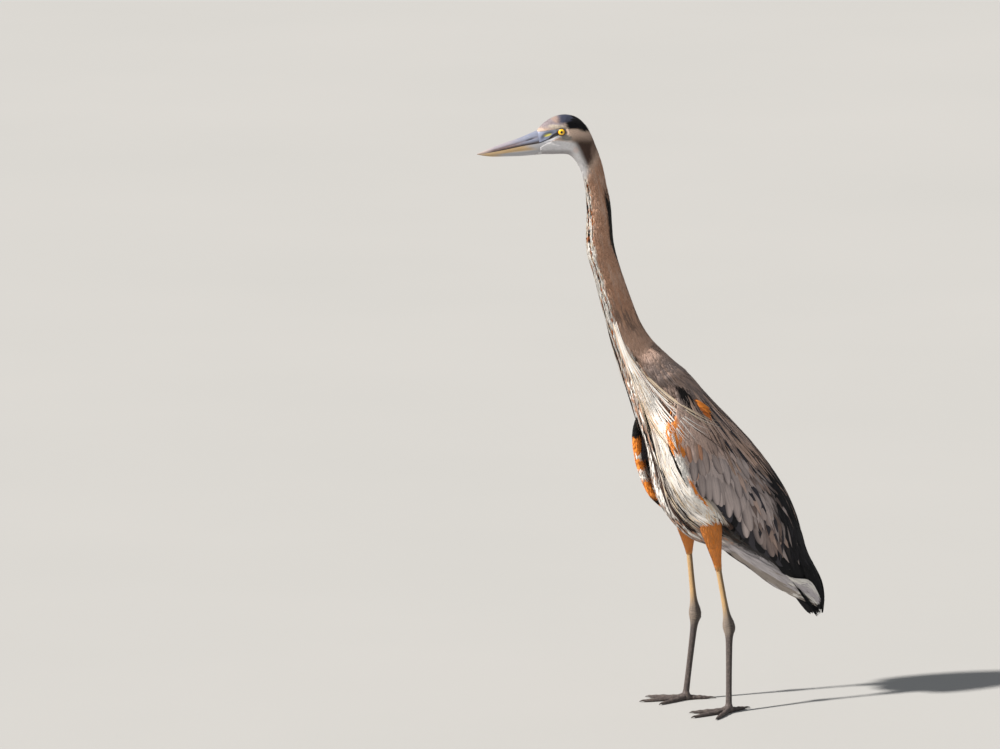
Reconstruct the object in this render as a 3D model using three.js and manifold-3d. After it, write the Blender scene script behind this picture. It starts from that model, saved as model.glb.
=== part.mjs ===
// A great blue heron, life size, standing alert with its neck stretched up and its head turned a little to its right.
// Millimetres. +X is forward, +Y is the bird's left, +Z is up. The soles stand on z = 0, and the origin is under the
// middle of the whole bird. The solids give the outline of the plumage, out to the tips of the feathers.
import * as THREE from "three";
import { mergeVertices } from "three/addons/utils/BufferGeometryUtils.js";
import Module from "manifold-3d";

const wasm = await Module();
wasm.setup();

// ---------------------------------------------------------------- driving dimensions
const GAP = 0.35; // left between solids that touch
const CENTRE_SHIFT = [-110, -19, 0]; // puts the origin under the middle of the bounding box
const BODY_SIDES = 24; // points round a ring of the head, neck and trunk
const LEG_SIDES = 12;
const TOE_SIDES = 8;
const CLAW_SIDES = 6;

const HEAD_TURN = THREE.MathUtils.degToRad(-14); // to the bird's right
const TURN_AXIS_X = 255; // the upright line that the head turns about
const TURN_FROM_Z = 960; // the neck starts to turn here
const TURN_FULL_Z = 1125; // and has turned the whole angle here

const EYE = { x: 329, y: 14.2, z: 1228, across: 9.2, deep: 7.5 };

// Each row of a profile is one ring: the point on the bird's upper or rear outline, the point on its lower or front
// outline, half the width, and how far the widest place lies above (+) or below (-) the ring's middle.
const HEAD_ROWS = [
  { top: [377, 1231], low: [372, 1181], half: 11.5, rise: 0.05 },
  { top: [361, 1247], low: [351, 1180], half: 15.2, rise: 0.05 },
  { top: [340, 1258], low: [333, 1180], half: 18.4, rise: 0.08 },
  { top: [319, 1261.5], low: [318, 1179.5], half: 20.0, rise: 0.08 },
  { top: [298, 1256.5], low: [309, 1177], half: 20.6, rise: 0.05 },
  { top: [281, 1243], low: [300, 1169], half: 20.6, rise: 0 },
  { top: [267, 1224], low: [292, 1158], half: 20.2, rise: 0 },
  { top: [256, 1198], low: [285, 1144], half: 19.8, rise: 0 },
  { top: [245, 1168], low: [280, 1127], half: 19.6, rise: 0 },
];
const NECK_ROWS = [
  { top: [233, 1114], low: [275, 1098], half: 21.2, rise: 0 },
  { top: [223, 1067], low: [272.5, 1055], half: 23, rise: 0 },
  { top: [219, 1024], low: [273.5, 1012], half: 24.2, rise: 0 },
  { top: [215, 990], low: [272, 972], half: 25, rise: 0 },
  { top: [203, 947], low: [257, 925], half: 25.6, rise: 0 },
  { top: [180, 884], low: [239, 860], half: 27.6, rise: 0 },
  { top: [154, 822], low: [217, 792], half: 30.5, rise: 0 },
  { top: [123, 777], low: [200, 745], half: 35, rise: 0 },
];
const TRUNK_ROWS = [
  { top: [84, 738], low: [187, 706], half: 42, rise: 0 },
  { top: [39, 701], low: [169, 655], half: 51, rise: 0 },
  { top: [-4, 651], low: [150, 604], half: 57, rise: 0 },
  { top: [-48, 599], low: [132, 548], half: 62, rise: 0 },
  { top: [-90, 551], low: [122, 490], half: 65, rise: 0 },
  { top: [-125, 503], low: [106, 438], half: 65, rise: 0.05 },
  { top: [-149, 455], low: [71, 388], half: 61, rise: 0.05 },
  { top: [-165, 414], low: [28, 352], half: 53, rise: 0 },
  { top: [-177, 375], low: [-27, 331], half: 43, rise: 0 },
  { top: [-188, 339], low: [-82, 303], half: 33, rise: 0 },
  { top: [-201, 304], low: [-128, 272], half: 26, rise: -0.1 },
  { top: [-216, 269], low: [-170, 243], half: 20, rise: -0.1 },
  { top: [-231, 236], low: [-207, 218], half: 12, rise: -0.1 },
  { top: [-238, 214], low: [-229, 207], half: 6, rise: 0 },
];
// The folded wings are one mantle over the back and sides, which the trunk hollows out. It is widest towards the
// breast, where the bend of each wing stands away from the body.
const MANTLE_ROWS = [
  { top: [66, 719], low: [190, 684], half: 46, rise: -0.1 },
  { top: [38, 698], low: [200, 636], half: 62, rise: -0.2 },
  { top: [-6, 651], low: [204, 584], half: 81, rise: -0.3 },
  { top: [-52, 604], low: [200, 528], half: 92, rise: -0.3 },
  { top: [-98, 556], low: [182, 463], half: 93, rise: -0.25 },
  { top: [-144, 499], low: [140, 402], half: 86, rise: -0.15 },
  { top: [-178, 447], low: [72, 362], half: 76, rise: 0 },
  { top: [-202, 398], low: [8, 340], half: 65, rise: 0 },
  { top: [-218, 352], low: [-60, 312], half: 50, rise: 0 },
  { top: [-234, 307], low: [-112, 276], half: 37, rise: 0 },
  { top: [-251, 276], low: [-160, 241], half: 27, rise: 0 },
  { top: [-266, 243], low: [-205, 213], half: 18, rise: 0 },
  { top: [-275, 205], low: [-243, 182], half: 11, rise: 0 },
  { top: [-273, 172], low: [-265, 167], half: 4, rise: 0 },
];
// What the wings leave free for the breast in front, so that each bend is a shell that stands off the body.
const BREAST_ROOM = { forward: 70, half: 61, rise: -0.35 };
// The folded wing seen from the side: its front edge from the shoulder round the bend, and the lower edge to the tip.
// The right wing is held a little lower and further forward than the left.
const WING_FRONT = {
  left: [
    [100, 664],
    [124, 618],
    [128, 592],
    [120, 560],
    [108, 534],
    [91, 498],
    [72, 463],
    [42, 432],
    [12, 408],
    [-24, 380],
  ],
  right: [
    [104, 664],
    [122, 614],
    [129, 584],
    [128, 554],
    [124, 526],
    [117, 495],
    [107, 465],
    [90, 432],
    [58, 404],
    [10, 378],
  ],
};
const WING_REAR = [
  [-65, 343],
  [-118, 309],
  [-162, 282],
  [-192, 262],
  [-214, 238],
  [-232, 207],
  [-250, 178],
  [-274, 158],
  [-330, 160],
  [-330, 780],
  [70, 780],
];
const TAIL = { root: [-128, 372], tip: [-266, 178], rootHalf: 24, tipHalf: 35, thick: 5.5, arch: 9 };

// The bill's halves: the ridge or keel line, the line where they meet, and half the width.
const BILL_MEETING = [
  [370, 1206.5],
  [392, 1203],
  [413, 1199.6],
  [444, 1193.4],
  [470, 1188.6],
  [488, 1185.6],
];
const CULMEN_Z = [1233.5, 1224.6, 1216, 1206, 1197.6, 1189.6];
const KEEL_Z = [1180.4, 1178.6, 1177.6, 1178, 1177.6, 1180.4];
const BILL_HALF = [11.2, 9.9, 8.4, 6.4, 4.4, 2.4];
const UPPER_TIP = [503, 1184.2];
const LOWER_TIP = [501, 1183.6];

const LEGS = {
  left: {
    side: 1,
    hip: [14, 41, 416],
    featherEnd: [-5, 53, 292],
    ankle: [-27, 58, 170],
    foot: [-9, 94, 14],
    toeOut: 14, // degrees that the middle toe points away from the bird's midline
  },
  right: {
    side: -1,
    hip: [26, -40, 404],
    featherEnd: [12, -52, 312],
    ankle: [-5, -58, 179],
    foot: [14, -62, 14],
    toeOut: 8,
  },
};
const TOES = [
  { name: "inner", angle: 30, length: 74, claw: 12 },
  { name: "middle", angle: 0, length: 92, claw: 13 },
  { name: "outer", angle: -32, length: 78, claw: 12 },
  { name: "hind", angle: 174, length: 48, claw: 18 },
];

// ---------------------------------------------------------------- materials
const finish = (color, roughness) => new THREE.MeshStandardMaterial({ color, roughness, metalness: 0 });
const MATERIALS = {
  crown: finish(0x6f6a6c, 0.8),
  neckBrown: finish(0x8d7a70, 0.85),
  trunkGrey: finish(0x8f8a86, 0.85),
  wingGrey: finish(0x6d6c70, 0.75),
  tailSlate: finish(0x4a4d55, 0.75),
  rufous: finish(0xb3652a, 0.85),
  legSkin: finish(0x9c8468, 0.6),
  scutes: finish(0x6f6158, 0.6),
  horn: finish(0x77808c, 0.4),
  lowerHorn: finish(0xb59a6a, 0.4),
  eye: finish(0xf2b705, 0.1),
  claw: finish(0x3a3430, 0.45),
};

// ---------------------------------------------------------------- shaping helpers
const lerp = THREE.MathUtils.lerp;
const smooth = THREE.MathUtils.smoothstep;

// A closed solid through rings of equal length, each a list of Vector3, with a flat fan on both ends.
function skin(rings) {
  const sides = rings[0].length;
  const points = rings.flat();
  const middle = (ring) => ring.reduce((sum, p) => sum.add(p), new THREE.Vector3()).divideScalar(ring.length);
  const first = points.push(middle(rings[0])) - 1;
  const last = points.push(middle(rings[rings.length - 1])) - 1;
  const faces = [];
  for (let r = 0; r < rings.length - 1; r++)
    for (let i = 0; i < sides; i++) {
      const a = r * sides + i;
      const b = r * sides + ((i + 1) % sides);
      faces.push(a, a + sides, b, b, a + sides, b + sides);
    }
  const end = (rings.length - 1) * sides;
  for (let i = 0; i < sides; i++) {
    const j = (i + 1) % sides;
    faces.push(first, i, j, last, end + j, end + i);
  }
  const volume = faces.reduce((sum, _, i) => {
    if (i % 3) return sum;
    const [a, b, c] = [points[faces[i]], points[faces[i + 1]], points[faces[i + 2]]];
    return sum + a.dot(b.clone().cross(c)) / 6;
  }, 0);
  if (volume < 0) faces.reverse(); // so that every face looks outwards
  const geometry = new THREE.BufferGeometry().setFromPoints(points);
  geometry.setIndex(faces);
  return geometry;
}

// A ring between an upper and a lower outline point, with its widest place raised by rise.
function outlineRing({ top, low, half, rise }, grow, sides) {
  const middle = new THREE.Vector3((top[0] + low[0]) / 2, 0, (top[1] + low[1]) / 2);
  const upward = new THREE.Vector3(top[0] - low[0], 0, top[1] - low[1]).multiplyScalar(0.5);
  const reach = upward.length();
  upward.multiplyScalar((reach + grow) / reach);
  return Array.from({ length: sides }, (_, i) => {
    const angle = (i / sides) * 2 * Math.PI;
    const up = Math.cos(angle);
    const lift = up + rise * (1 - up * up);
    const point = middle.clone().addScaledVector(upward, lift);
    point.y = Math.sin(angle) * (half + grow);
    return point;
  });
}

// Smooth curves through a profile's rows, read at any place from 0 to rows.length - 1.
function profile(rows) {
  const curve = (pick) => new THREE.CatmullRomCurve3(rows.map(pick), false, "catmullrom", 0.5);
  const top = curve((r) => new THREE.Vector3(r.top[0], 0, r.top[1]));
  const low = curve((r) => new THREE.Vector3(r.low[0], 0, r.low[1]));
  const width = curve((r) => new THREE.Vector3(r.half, r.rise, 0));
  return (place) => {
    const t = place / (rows.length - 1);
    const [a, b, w] = [top, low, width].map((c) => c.getPoint(t));
    return { top: [a.x, a.z], low: [b.x, b.z], half: w.x, rise: w.y };
  };
}

const evenly = (from, to, steps) => Array.from({ length: steps + 1 }, (_, i) => lerp(from, to, i / steps));
function profileSolid(rows, places, grow = 0, sides = BODY_SIDES) {
  const at = profile(rows);
  return skin(places.map((place) => outlineRing(at(place), grow, sides)));
}

// A tapered limb along points, each { at: Vector3, wide, deep }, where wide is measured along the axis side. Its
// rings stand square to the limb, or to the direction facing.
function limb(stations, side, sides = LEG_SIDES, grow = 0, facing = null) {
  const rings = stations.map((s, i) => {
    const before = stations[Math.max(0, i - 1)].at;
    const after = stations[Math.min(stations.length - 1, i + 1)].at;
    const along = facing ?? after.clone().sub(before).normalize();
    const across = side.clone().addScaledVector(along, -side.dot(along)).normalize();
    const deep = across.clone().cross(along).normalize();
    return Array.from({ length: sides }, (_, k) => {
      const angle = (k / sides) * 2 * Math.PI;
      return s.at
        .clone()
        .addScaledVector(across, Math.cos(angle) * (s.wide + grow))
        .addScaledVector(deep, Math.sin(angle) * (s.deep + grow));
    });
  });
  return skin(rings);
}

// Turns the top of the neck and the head about the turn axis, as the bird looks to its right.
function turnHead(geometry) {
  const p = geometry.getAttribute("position");
  for (let i = 0; i < p.count; i++) {
    const angle = HEAD_TURN * smooth(p.getZ(i), TURN_FROM_Z, TURN_FULL_Z);
    const x = p.getX(i) - TURN_AXIS_X;
    const y = p.getY(i);
    p.setXY(i, TURN_AXIS_X + x * Math.cos(angle) - y * Math.sin(angle), x * Math.sin(angle) + y * Math.cos(angle));
  }
  return geometry;
}

// Between a three.js geometry and a solid that can be cut and joined.
function solid(geometry) {
  const bare = geometry.clone();
  bare.deleteAttribute("normal");
  bare.deleteAttribute("uv");
  const merged = mergeVertices(bare, 1e-4);
  return new wasm.Manifold(
    new wasm.Mesh({
      numProp: 3,
      vertProperties: new Float32Array(merged.getAttribute("position").array),
      triVerts: new Uint32Array(merged.index.array),
    }),
  );
}
// Points nearer than this are drawn together where two surfaces cross at a shallow angle.
const NEAREST = 0.06;
function geometryOf(shape) {
  const mesh = shape.getMesh();
  const crossed = new THREE.BufferGeometry();
  crossed.setAttribute("position", new THREE.BufferAttribute(new Float32Array(mesh.vertProperties), 3));
  crossed.setIndex(new THREE.BufferAttribute(new Uint32Array(mesh.triVerts), 1));
  const geometry = mergeVertices(crossed, NEAREST);
  const faces = [];
  for (let i = 0; i < geometry.index.count; i += 3) {
    const [a, b, c] = [0, 1, 2].map((k) => geometry.index.getX(i + k));
    if (a !== b && b !== c && c !== a) faces.push(a, b, c);
  }
  geometry.setIndex(faces);
  return geometry;
}
const box = (x0, x1, y0, y1, z0, z1) =>
  new THREE.BoxGeometry(x1 - x0, y1 - y0, z1 - z0).translate((x0 + x1) / 2, (y0 + y1) / 2, (z0 + z1) / 2);
const largest = (shape) => shape.decompose().sort((a, b) => b.volume() - a.volume())[0];

const heron = new THREE.Group();
function add(name, geometry, material) {
  geometry.computeVertexNormals();
  const mesh = new THREE.Mesh(geometry, material);
  mesh.name = name;
  mesh.position.set(...CENTRE_SHIFT);
  heron.add(mesh);
}

// ---------------------------------------------------------------- head, neck and trunk
const SPINE_ROWS = [...HEAD_ROWS, ...NECK_ROWS, ...TRUNK_ROWS];
const HEAD_END = HEAD_ROWS.length - 1;
const NECK_END = HEAD_END + NECK_ROWS.length;
const TRUNK_END = SPINE_ROWS.length - 1;
const CUT = 0.008; // half a cut between two lengths of the spine, as a share of a row
const LENGTHS = {
  head: evenly(0, HEAD_END - CUT, 13),
  neck_upper: evenly(HEAD_END + CUT, HEAD_END + 3 - CUT, 6),
  neck_middle: evenly(HEAD_END + 3 + CUT, HEAD_END + 6 - CUT, 6),
  neck_lower: evenly(HEAD_END + 6 + CUT, NECK_END + 0.3 - CUT, 5),
  trunk: evenly(NECK_END + 0.3 + CUT, TRUNK_END, 16),
};
const spineShape = (places, grow = 0) => turnHead(profileSolid(SPINE_ROWS, places, grow));
const bodyRoom = solid(spineShape(Object.values(LENGTHS).flat(), GAP)); // what the other parts stay clear of

const eyeShape = (side, grow) => {
  const globe = new THREE.SphereGeometry(1, 16, 10);
  globe.scale(EYE.across + grow, EYE.deep + grow, EYE.across + grow);
  globe.rotateZ(side * THREE.MathUtils.degToRad(-9));
  globe.translate(EYE.x, side * EYE.y, EYE.z);
  return turnHead(globe);
};
const head = [1, -1].reduce(
  (shape, side) => shape.subtract(solid(eyeShape(side, GAP))),
  solid(spineShape(LENGTHS.head)),
);
add("head", geometryOf(head), MATERIALS.crown);
add("eye_left", eyeShape(1, 0), MATERIALS.eye);
add("eye_right", eyeShape(-1, 0), MATERIALS.eye);

for (const name of ["neck_upper", "neck_middle", "neck_lower"])
  add(name, spineShape(LENGTHS[name]), MATERIALS.neckBrown);
add("trunk", spineShape(LENGTHS.trunk), MATERIALS.trunkGrey);

// ---------------------------------------------------------------- bill
function billHalf(edgeZ, tip, lower) {
  const sides = 14;
  const rings = BILL_MEETING.map(([x, meetZ], i) => {
    const reach = edgeZ[i] - meetZ;
    const start = meetZ + (lower ? -GAP / 2 : GAP / 2);
    return Array.from({ length: sides }, (_, k) => {
      const angle = (k / (sides - 1)) * Math.PI; // from the right edge over the ridge to the left edge
      const out = Math.sin(angle);
      return new THREE.Vector3(x, -Math.cos(angle) * BILL_HALF[i], start + out * reach);
    });
  });
  const point = Array.from({ length: sides }, (_, k) => {
    const angle = (k / (sides - 1)) * Math.PI;
    return new THREE.Vector3(tip[0], -Math.cos(angle) * 0.7, tip[1] + (lower ? -0.7 : 0.7) * Math.sin(angle));
  });
  return turnHead(skin([...rings, point]));
}
const billRoom = solid(turnHead(box(371, 520, -60, 60, 1150, 1260))).subtract(bodyRoom);
const bill = (edgeZ, tip, lower) =>
  geometryOf(largest(solid(billHalf(edgeZ, tip, lower)).intersect(billRoom)));
add("bill_upper", bill(CULMEN_Z, UPPER_TIP, false), MATERIALS.horn);
add("bill_lower", bill(KEEL_Z, LOWER_TIP, true), MATERIALS.lowerHorn);

// ---------------------------------------------------------------- tail: a shallow arched fan under the wing tips
function tailShape(grow) {
  const along = new THREE.Vector2(TAIL.tip[0] - TAIL.root[0], TAIL.tip[1] - TAIL.root[1]);
  const length = along.length();
  along.normalize();
  const upward = new THREE.Vector2(along.y, -along.x); // towards the bird's back
  const steps = 5;
  const across = 6;
  const rings = Array.from({ length: steps + 1 }, (_, i) => {
    const t = i / steps;
    const half = lerp(TAIL.rootHalf, TAIL.tipHalf, t) + grow;
    const face = (side) =>
      Array.from({ length: across + 1 }, (_, k) => {
        const y = lerp(-1, 1, k / across) * side;
        const rounded = t === 1 ? -10 * y * y : 0; // the outer feathers are shorter
        const reach = t * length + rounded + (t === 1 ? grow : t === 0 ? -grow : 0);
        const lift = side * (TAIL.thick / 2 + grow) * (1 - 0.35 * y * y) - TAIL.arch * y * y;
        return new THREE.Vector3(
          TAIL.root[0] + along.x * reach + upward.x * lift,
          y * half,
          TAIL.root[1] + along.y * reach + upward.y * lift,
        );
      });
    return [...face(1), ...face(-1)];
  });
  return skin(rings);
}
add("tail", geometryOf(largest(solid(tailShape(0)).subtract(bodyRoom))), MATERIALS.tailSlate);

// ---------------------------------------------------------------- legs
const toVector = (p) => new THREE.Vector3(...p);
const LATERAL = new THREE.Vector3(0, 1, 0);
const between = (a, b, t) => a.clone().lerp(b, t);

function thighShape(leg, grow) {
  const [hip, end] = [toVector(leg.hip), toVector(leg.featherEnd)];
  // Half widths from the hip to the last feathers: [share of the way, side to side, front to back].
  const shape = [
    [-0.12, 14, 22],
    [0.1, 16.5, 26],
    [0.28, 16.5, 24],
    [0.46, 14.5, 19],
    [0.64, 12.2, 14.2],
    [0.82, 9.2, 10.2],
    [0.995, 7.0, 7.6],
  ];
  return limb(shape.map(([t, wide, deep]) => ({ at: between(hip, end, t), wide, deep })), LATERAL, 14, grow);
}
function shankShape(leg) {
  const [top, ankle] = [toVector(leg.featherEnd), toVector(leg.ankle)];
  const shape = [
    [0.003, 5.6, 6.2],
    [0.15, 5.4, 6.0],
    [0.5, 5.4, 6.2],
    [0.72, 6.2, 7.4],
    [0.84, 7.4, 10.2],
    [0.93, 8.8, 13.2],
    [1.0, 9.4, 14.0],
    [1.05, 8.8, 12.6],
  ];
  return limb(shape.map(([t, wide, deep]) => ({ at: between(top, ankle, t), wide, deep })), LATERAL);
}
function tarsusShape(leg) {
  const [ankle, foot] = [toVector(leg.ankle), toVector(leg.foot)];
  const shape = [
    [0.045, 8.2, 11.6],
    [0.085, 7.0, 9.4],
    [0.16, 5.8, 7.6],
    [0.45, 5.0, 6.8],
    [0.8, 5.2, 6.4],
    [0.975, 6.2, 6.8],
  ];
  return limb(shape.map(([t, wide, deep]) => ({ at: between(ankle, foot, t), wide, deep })), LATERAL);
}
const FLOOR = box(-400, 400, -400, 400, -60, 0);

function toeLine(leg, toe) {
  const hub = toVector(leg.foot);
  const heading = THREE.MathUtils.degToRad(leg.side * (leg.toeOut - toe.angle));
  const forward = new THREE.Vector3(Math.cos(heading), Math.sin(heading), 0);
  return { hub, forward };
}
function toeShape(leg, toe) {
  const { hub, forward } = toeLine(leg, toe);
  const stations = [
    [0.02, 9.5, 6.6],
    [0.16, 5.8, 6.0],
    [0.34, 4.3, 5.9], // pads at the joints
    [0.5, 3.8, 4.8],
    [0.62, 3.8, 5.3],
    [0.82, 3.2, 4.5],
    [0.97, 2.6, 3.4],
  ];
  const across = new THREE.Vector3(-forward.y, forward.x, 0);
  return limb(
    stations.map(([t, height, radius]) => {
      const at = hub.clone().addScaledVector(forward, t * toe.length);
      at.z = height;
      return { at, wide: radius, deep: radius };
    }),
    across,
    TOE_SIDES,
    0,
    forward,
  );
}
function clawShape(leg, toe) {
  const { hub, forward } = toeLine(leg, toe);
  const across = new THREE.Vector3(-forward.y, forward.x, 0);
  const stations = [
    [0, 3.2, 2.7],
    [0.3, 3.9, 2.4],
    [0.6, 3.4, 1.8],
    [0.85, 2.2, 1.1],
    [1, 1.2, 0.5],
  ];
  return limb(
    stations.map(([t, height, radius]) => {
      const at = hub.clone().addScaledVector(forward, toe.length * 0.97 + GAP + t * toe.claw);
      at.z = height;
      return { at, wide: radius * 0.8, deep: radius };
    }),
    across,
    CLAW_SIDES,
    0,
    forward,
  );
}
function footShape(leg) {
  const hub = toVector(leg.foot);
  const knuckle = new THREE.SphereGeometry(9.8, 10, 7).translate(hub.x, hub.y, 10.6);
  const joined = TOES.reduce((shape, toe) => shape.add(solid(toeShape(leg, toe))), solid(knuckle));
  return joined.subtract(solid(FLOOR));
}

// The space between two shares of a limb's way, wide enough to cut a neighbour off square where the limb ends.
function limbRoom(from, to, start, end) {
  const margin = GAP / from.distanceTo(to);
  const stations = [start, end + margin].map((t) => ({ at: between(from, to, t), wide: 22, deep: 24 }));
  return solid(limb(stations, LATERAL));
}

const thighs = {};
for (const [side, leg] of Object.entries(LEGS)) {
  const [featherEnd, ankle, foot] = [leg.featherEnd, leg.ankle, leg.foot].map(toVector);
  thighs[side] = solid(thighShape(leg, GAP));
  const thigh = solid(thighShape(leg, 0)).subtract(bodyRoom);
  const tarsus = solid(tarsusShape(leg)).subtract(limbRoom(featherEnd, ankle, 0.8, 1.05));
  const toes = footShape(leg).subtract(limbRoom(ankle, foot, 0.7, 0.975));
  add(`thigh_${side}`, geometryOf(largest(thigh)), MATERIALS.rufous);
  add(`shank_${side}`, shankShape(leg), MATERIALS.legSkin);
  add(`tarsus_${side}`, geometryOf(largest(tarsus)), MATERIALS.scutes);
  add(`foot_${side}`, geometryOf(largest(toes)), MATERIALS.scutes);
  for (const toe of TOES) add(`claw_${side}_${toe.name}`, clawShape(leg, toe), MATERIALS.claw);
}

// ---------------------------------------------------------------- folded wings
const WING_SPAN = 120; // wider than the bird, so that the outline cuts right through
function wingRoom(name, side) {
  const outline = new THREE.Shape([...WING_FRONT[name], ...WING_REAR].map(([x, z]) => new THREE.Vector2(x, z)));
  const prism = new THREE.ExtrudeGeometry(outline, { depth: WING_SPAN, bevelEnabled: false });
  prism.rotateX(Math.PI / 2); // the outline stands up, and its depth runs to the bird's right
  prism.translate(0, side > 0 ? WING_SPAN + GAP / 2 : -GAP / 2, 0);
  return solid(prism);
}
const mantle = solid(profileSolid(MANTLE_ROWS, evenly(0, MANTLE_ROWS.length - 1, 15), 0, 22));
const tailRoom = solid(tailShape(GAP));
const breastRows = TRUNK_ROWS.slice(1, 8).map((row) => ({
  top: [row.top[0] + 80, row.top[1] - 26],
  low: [row.low[0] + BREAST_ROOM.forward, row.low[1] - 24],
  half: BREAST_ROOM.half,
  rise: BREAST_ROOM.rise,
}));
const breastRoom = solid(profileSolid(breastRows, evenly(0, breastRows.length - 1, breastRows.length - 1), 0, 16));
for (const [name, leg] of Object.entries(LEGS)) {
  const rooms = [bodyRoom, breastRoom, tailRoom, thighs[name]];
  const wing = rooms.reduce((shape, room) => shape.subtract(room), mantle.intersect(wingRoom(name, leg.side)));
  add(`wing_${name}`, geometryOf(largest(wing)), MATERIALS.wingGrey);
}

export default heron;
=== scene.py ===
# %% [markdown]
# # A great blue heron, standing
# This builds the looks of a life-size heron model, much as a museum maker would work: first the stage, then
# the body's form, one skin over it, bill, eyes and claws of horn and glass, and then the plumage, one coat
# after another. Everything is worked out in millimetres in the bird's own drawing place, where +X is
# forward, +Y is its left and +Z is up, and is turned into metres only when a mesh is made.

import bpy
import numpy as np
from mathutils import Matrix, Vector, kdtree


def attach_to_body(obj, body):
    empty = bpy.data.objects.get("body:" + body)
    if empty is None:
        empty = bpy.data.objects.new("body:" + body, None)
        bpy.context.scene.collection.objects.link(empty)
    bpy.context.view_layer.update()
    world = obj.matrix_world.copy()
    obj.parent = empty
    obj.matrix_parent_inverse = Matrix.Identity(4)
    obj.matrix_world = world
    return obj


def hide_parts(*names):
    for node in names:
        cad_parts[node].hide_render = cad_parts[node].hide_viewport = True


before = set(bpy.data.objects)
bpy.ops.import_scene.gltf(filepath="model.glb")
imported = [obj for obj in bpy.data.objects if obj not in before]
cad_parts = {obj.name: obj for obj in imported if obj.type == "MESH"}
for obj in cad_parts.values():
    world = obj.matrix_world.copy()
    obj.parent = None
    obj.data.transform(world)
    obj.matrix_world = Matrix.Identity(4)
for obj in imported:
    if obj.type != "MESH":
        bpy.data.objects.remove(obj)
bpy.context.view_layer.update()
MM = 0.001
CENTRE_SHIFT = np.array([-110.0, -19.0, 0.0])  # from the drawing place to the frame

# %% [markdown]
# ## Stage
# A pale floor and soft lamps are all that a museum photographer needs. The camera is a long lens far away,
# so that the bird keeps its true proportions. It looks at the bird's left side from a little in front and a
# little above.

# %% Camera
LENS = 400.0
SENSOR = 36.0
CAMERA_TARGET = Vector((0.22661546, -0.30769107, 0.67705533))
CAMERA_AZIMUTH = np.radians(155)
CAMERA_ELEVATION = np.radians(10)
CAMERA_DISTANCE = 23.148148
CAMERA_LEVEL = np.cos(CAMERA_ELEVATION)
CAMERA_BACK = Vector(
    (np.sin(CAMERA_AZIMUTH) * CAMERA_LEVEL, -np.cos(CAMERA_AZIMUTH) * CAMERA_LEVEL, np.sin(CAMERA_ELEVATION))
)
camera_data = bpy.data.cameras.new("camera")
camera_data.lens = LENS
camera_data.sensor_width = SENSOR
camera_data.clip_end = 200
camera = bpy.data.objects.new("camera", camera_data)
camera.location = CAMERA_TARGET + CAMERA_BACK * CAMERA_DISTANCE
camera.rotation_euler = (-CAMERA_BACK).to_track_quat("-Z", "Y").to_euler()
bpy.context.scene.collection.objects.link(camera)
bpy.context.scene.camera = camera
bpy.context.scene.view_settings.view_transform = "Standard"
print("camera at", [round(v, 2) for v in camera.location])


# %% Lamps and surroundings
def lamp(name, side, spread, power, colour):
    """A broad even light from a side. spread is how wide it looks from the bird, in degrees."""
    data = bpy.data.lights.new(name, "SUN")
    data.angle = np.radians(spread)
    data.energy = power
    data.color = colour
    thing = bpy.data.objects.new(name, data)
    thing.location = side
    thing.rotation_euler = (-side).to_track_quat("-Z", "Y").to_euler()
    bpy.context.scene.collection.objects.link(thing)


KEY_POWER, FILL_POWER, SKY_POWER = 7.3, 0.2, 0.29
CAMERA_LEFT = Vector((-np.cos(CAMERA_AZIMUTH), -np.sin(CAMERA_AZIMUTH), 0))
CAMERA_FRONT = Vector((CAMERA_BACK.x, CAMERA_BACK.y, 0)).normalized()
UPWARD = Vector((0, 0, 1))
lamp("key", CAMERA_LEFT * 3.0 + CAMERA_FRONT * 1.35 + UPWARD * 2.7, 3, KEY_POWER, (1.0, 0.955, 0.9))
lamp("fill", CAMERA_LEFT * -2.6 + CAMERA_FRONT * 2.0 + UPWARD * 1.6, 60, FILL_POWER, (0.9, 0.95, 1.0))
world = bpy.data.worlds.new("surroundings")
world.use_nodes = True
world.node_tree.nodes["Background"].inputs["Color"].default_value = (0.86, 0.9, 0.95, 1)
world.node_tree.nodes["Background"].inputs["Strength"].default_value = SKY_POWER
bpy.context.scene.world = world

# %% [markdown]
# ## Writing materials as sums
# A material is a graph of nodes, but it is easier to read as arithmetic. A small class wraps a node's
# output, and adding or multiplying two outputs adds the Math node that does it. Colours are mixed with Mix
# nodes, because a Math node would turn them grey.


# %% Shader arithmetic
class Wire:
    """The output of one node. Sums and products of wires add Math nodes to the same material."""

    def __init__(self, finish, socket):
        self.finish = finish
        self.socket = socket

    def math(self, operation, first, second=0.0):
        return self.finish.node("ShaderNodeMath", {"operation": operation}, {0: first, 1: second})

    def __add__(self, other):
        return self.math("ADD", self, other)

    def __sub__(self, other):
        return self.math("SUBTRACT", self, other)

    def __rsub__(self, other):
        return self.math("SUBTRACT", other, self)

    def __mul__(self, other):
        return self.math("MULTIPLY", self, other)

    def __abs__(self):
        return self.math("ABSOLUTE", self)

    def sine(self):
        return self.math("SINE", self)

    def between(self, low, high):
        """0 below low, 1 above high and a soft step between them."""
        settings = {"interpolation_type": "SMOOTHSTEP"}
        return self.finish.node("ShaderNodeMapRange", settings, {0: self, 1: low, 2: high})

    __radd__ = __add__
    __rmul__ = __mul__


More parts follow.
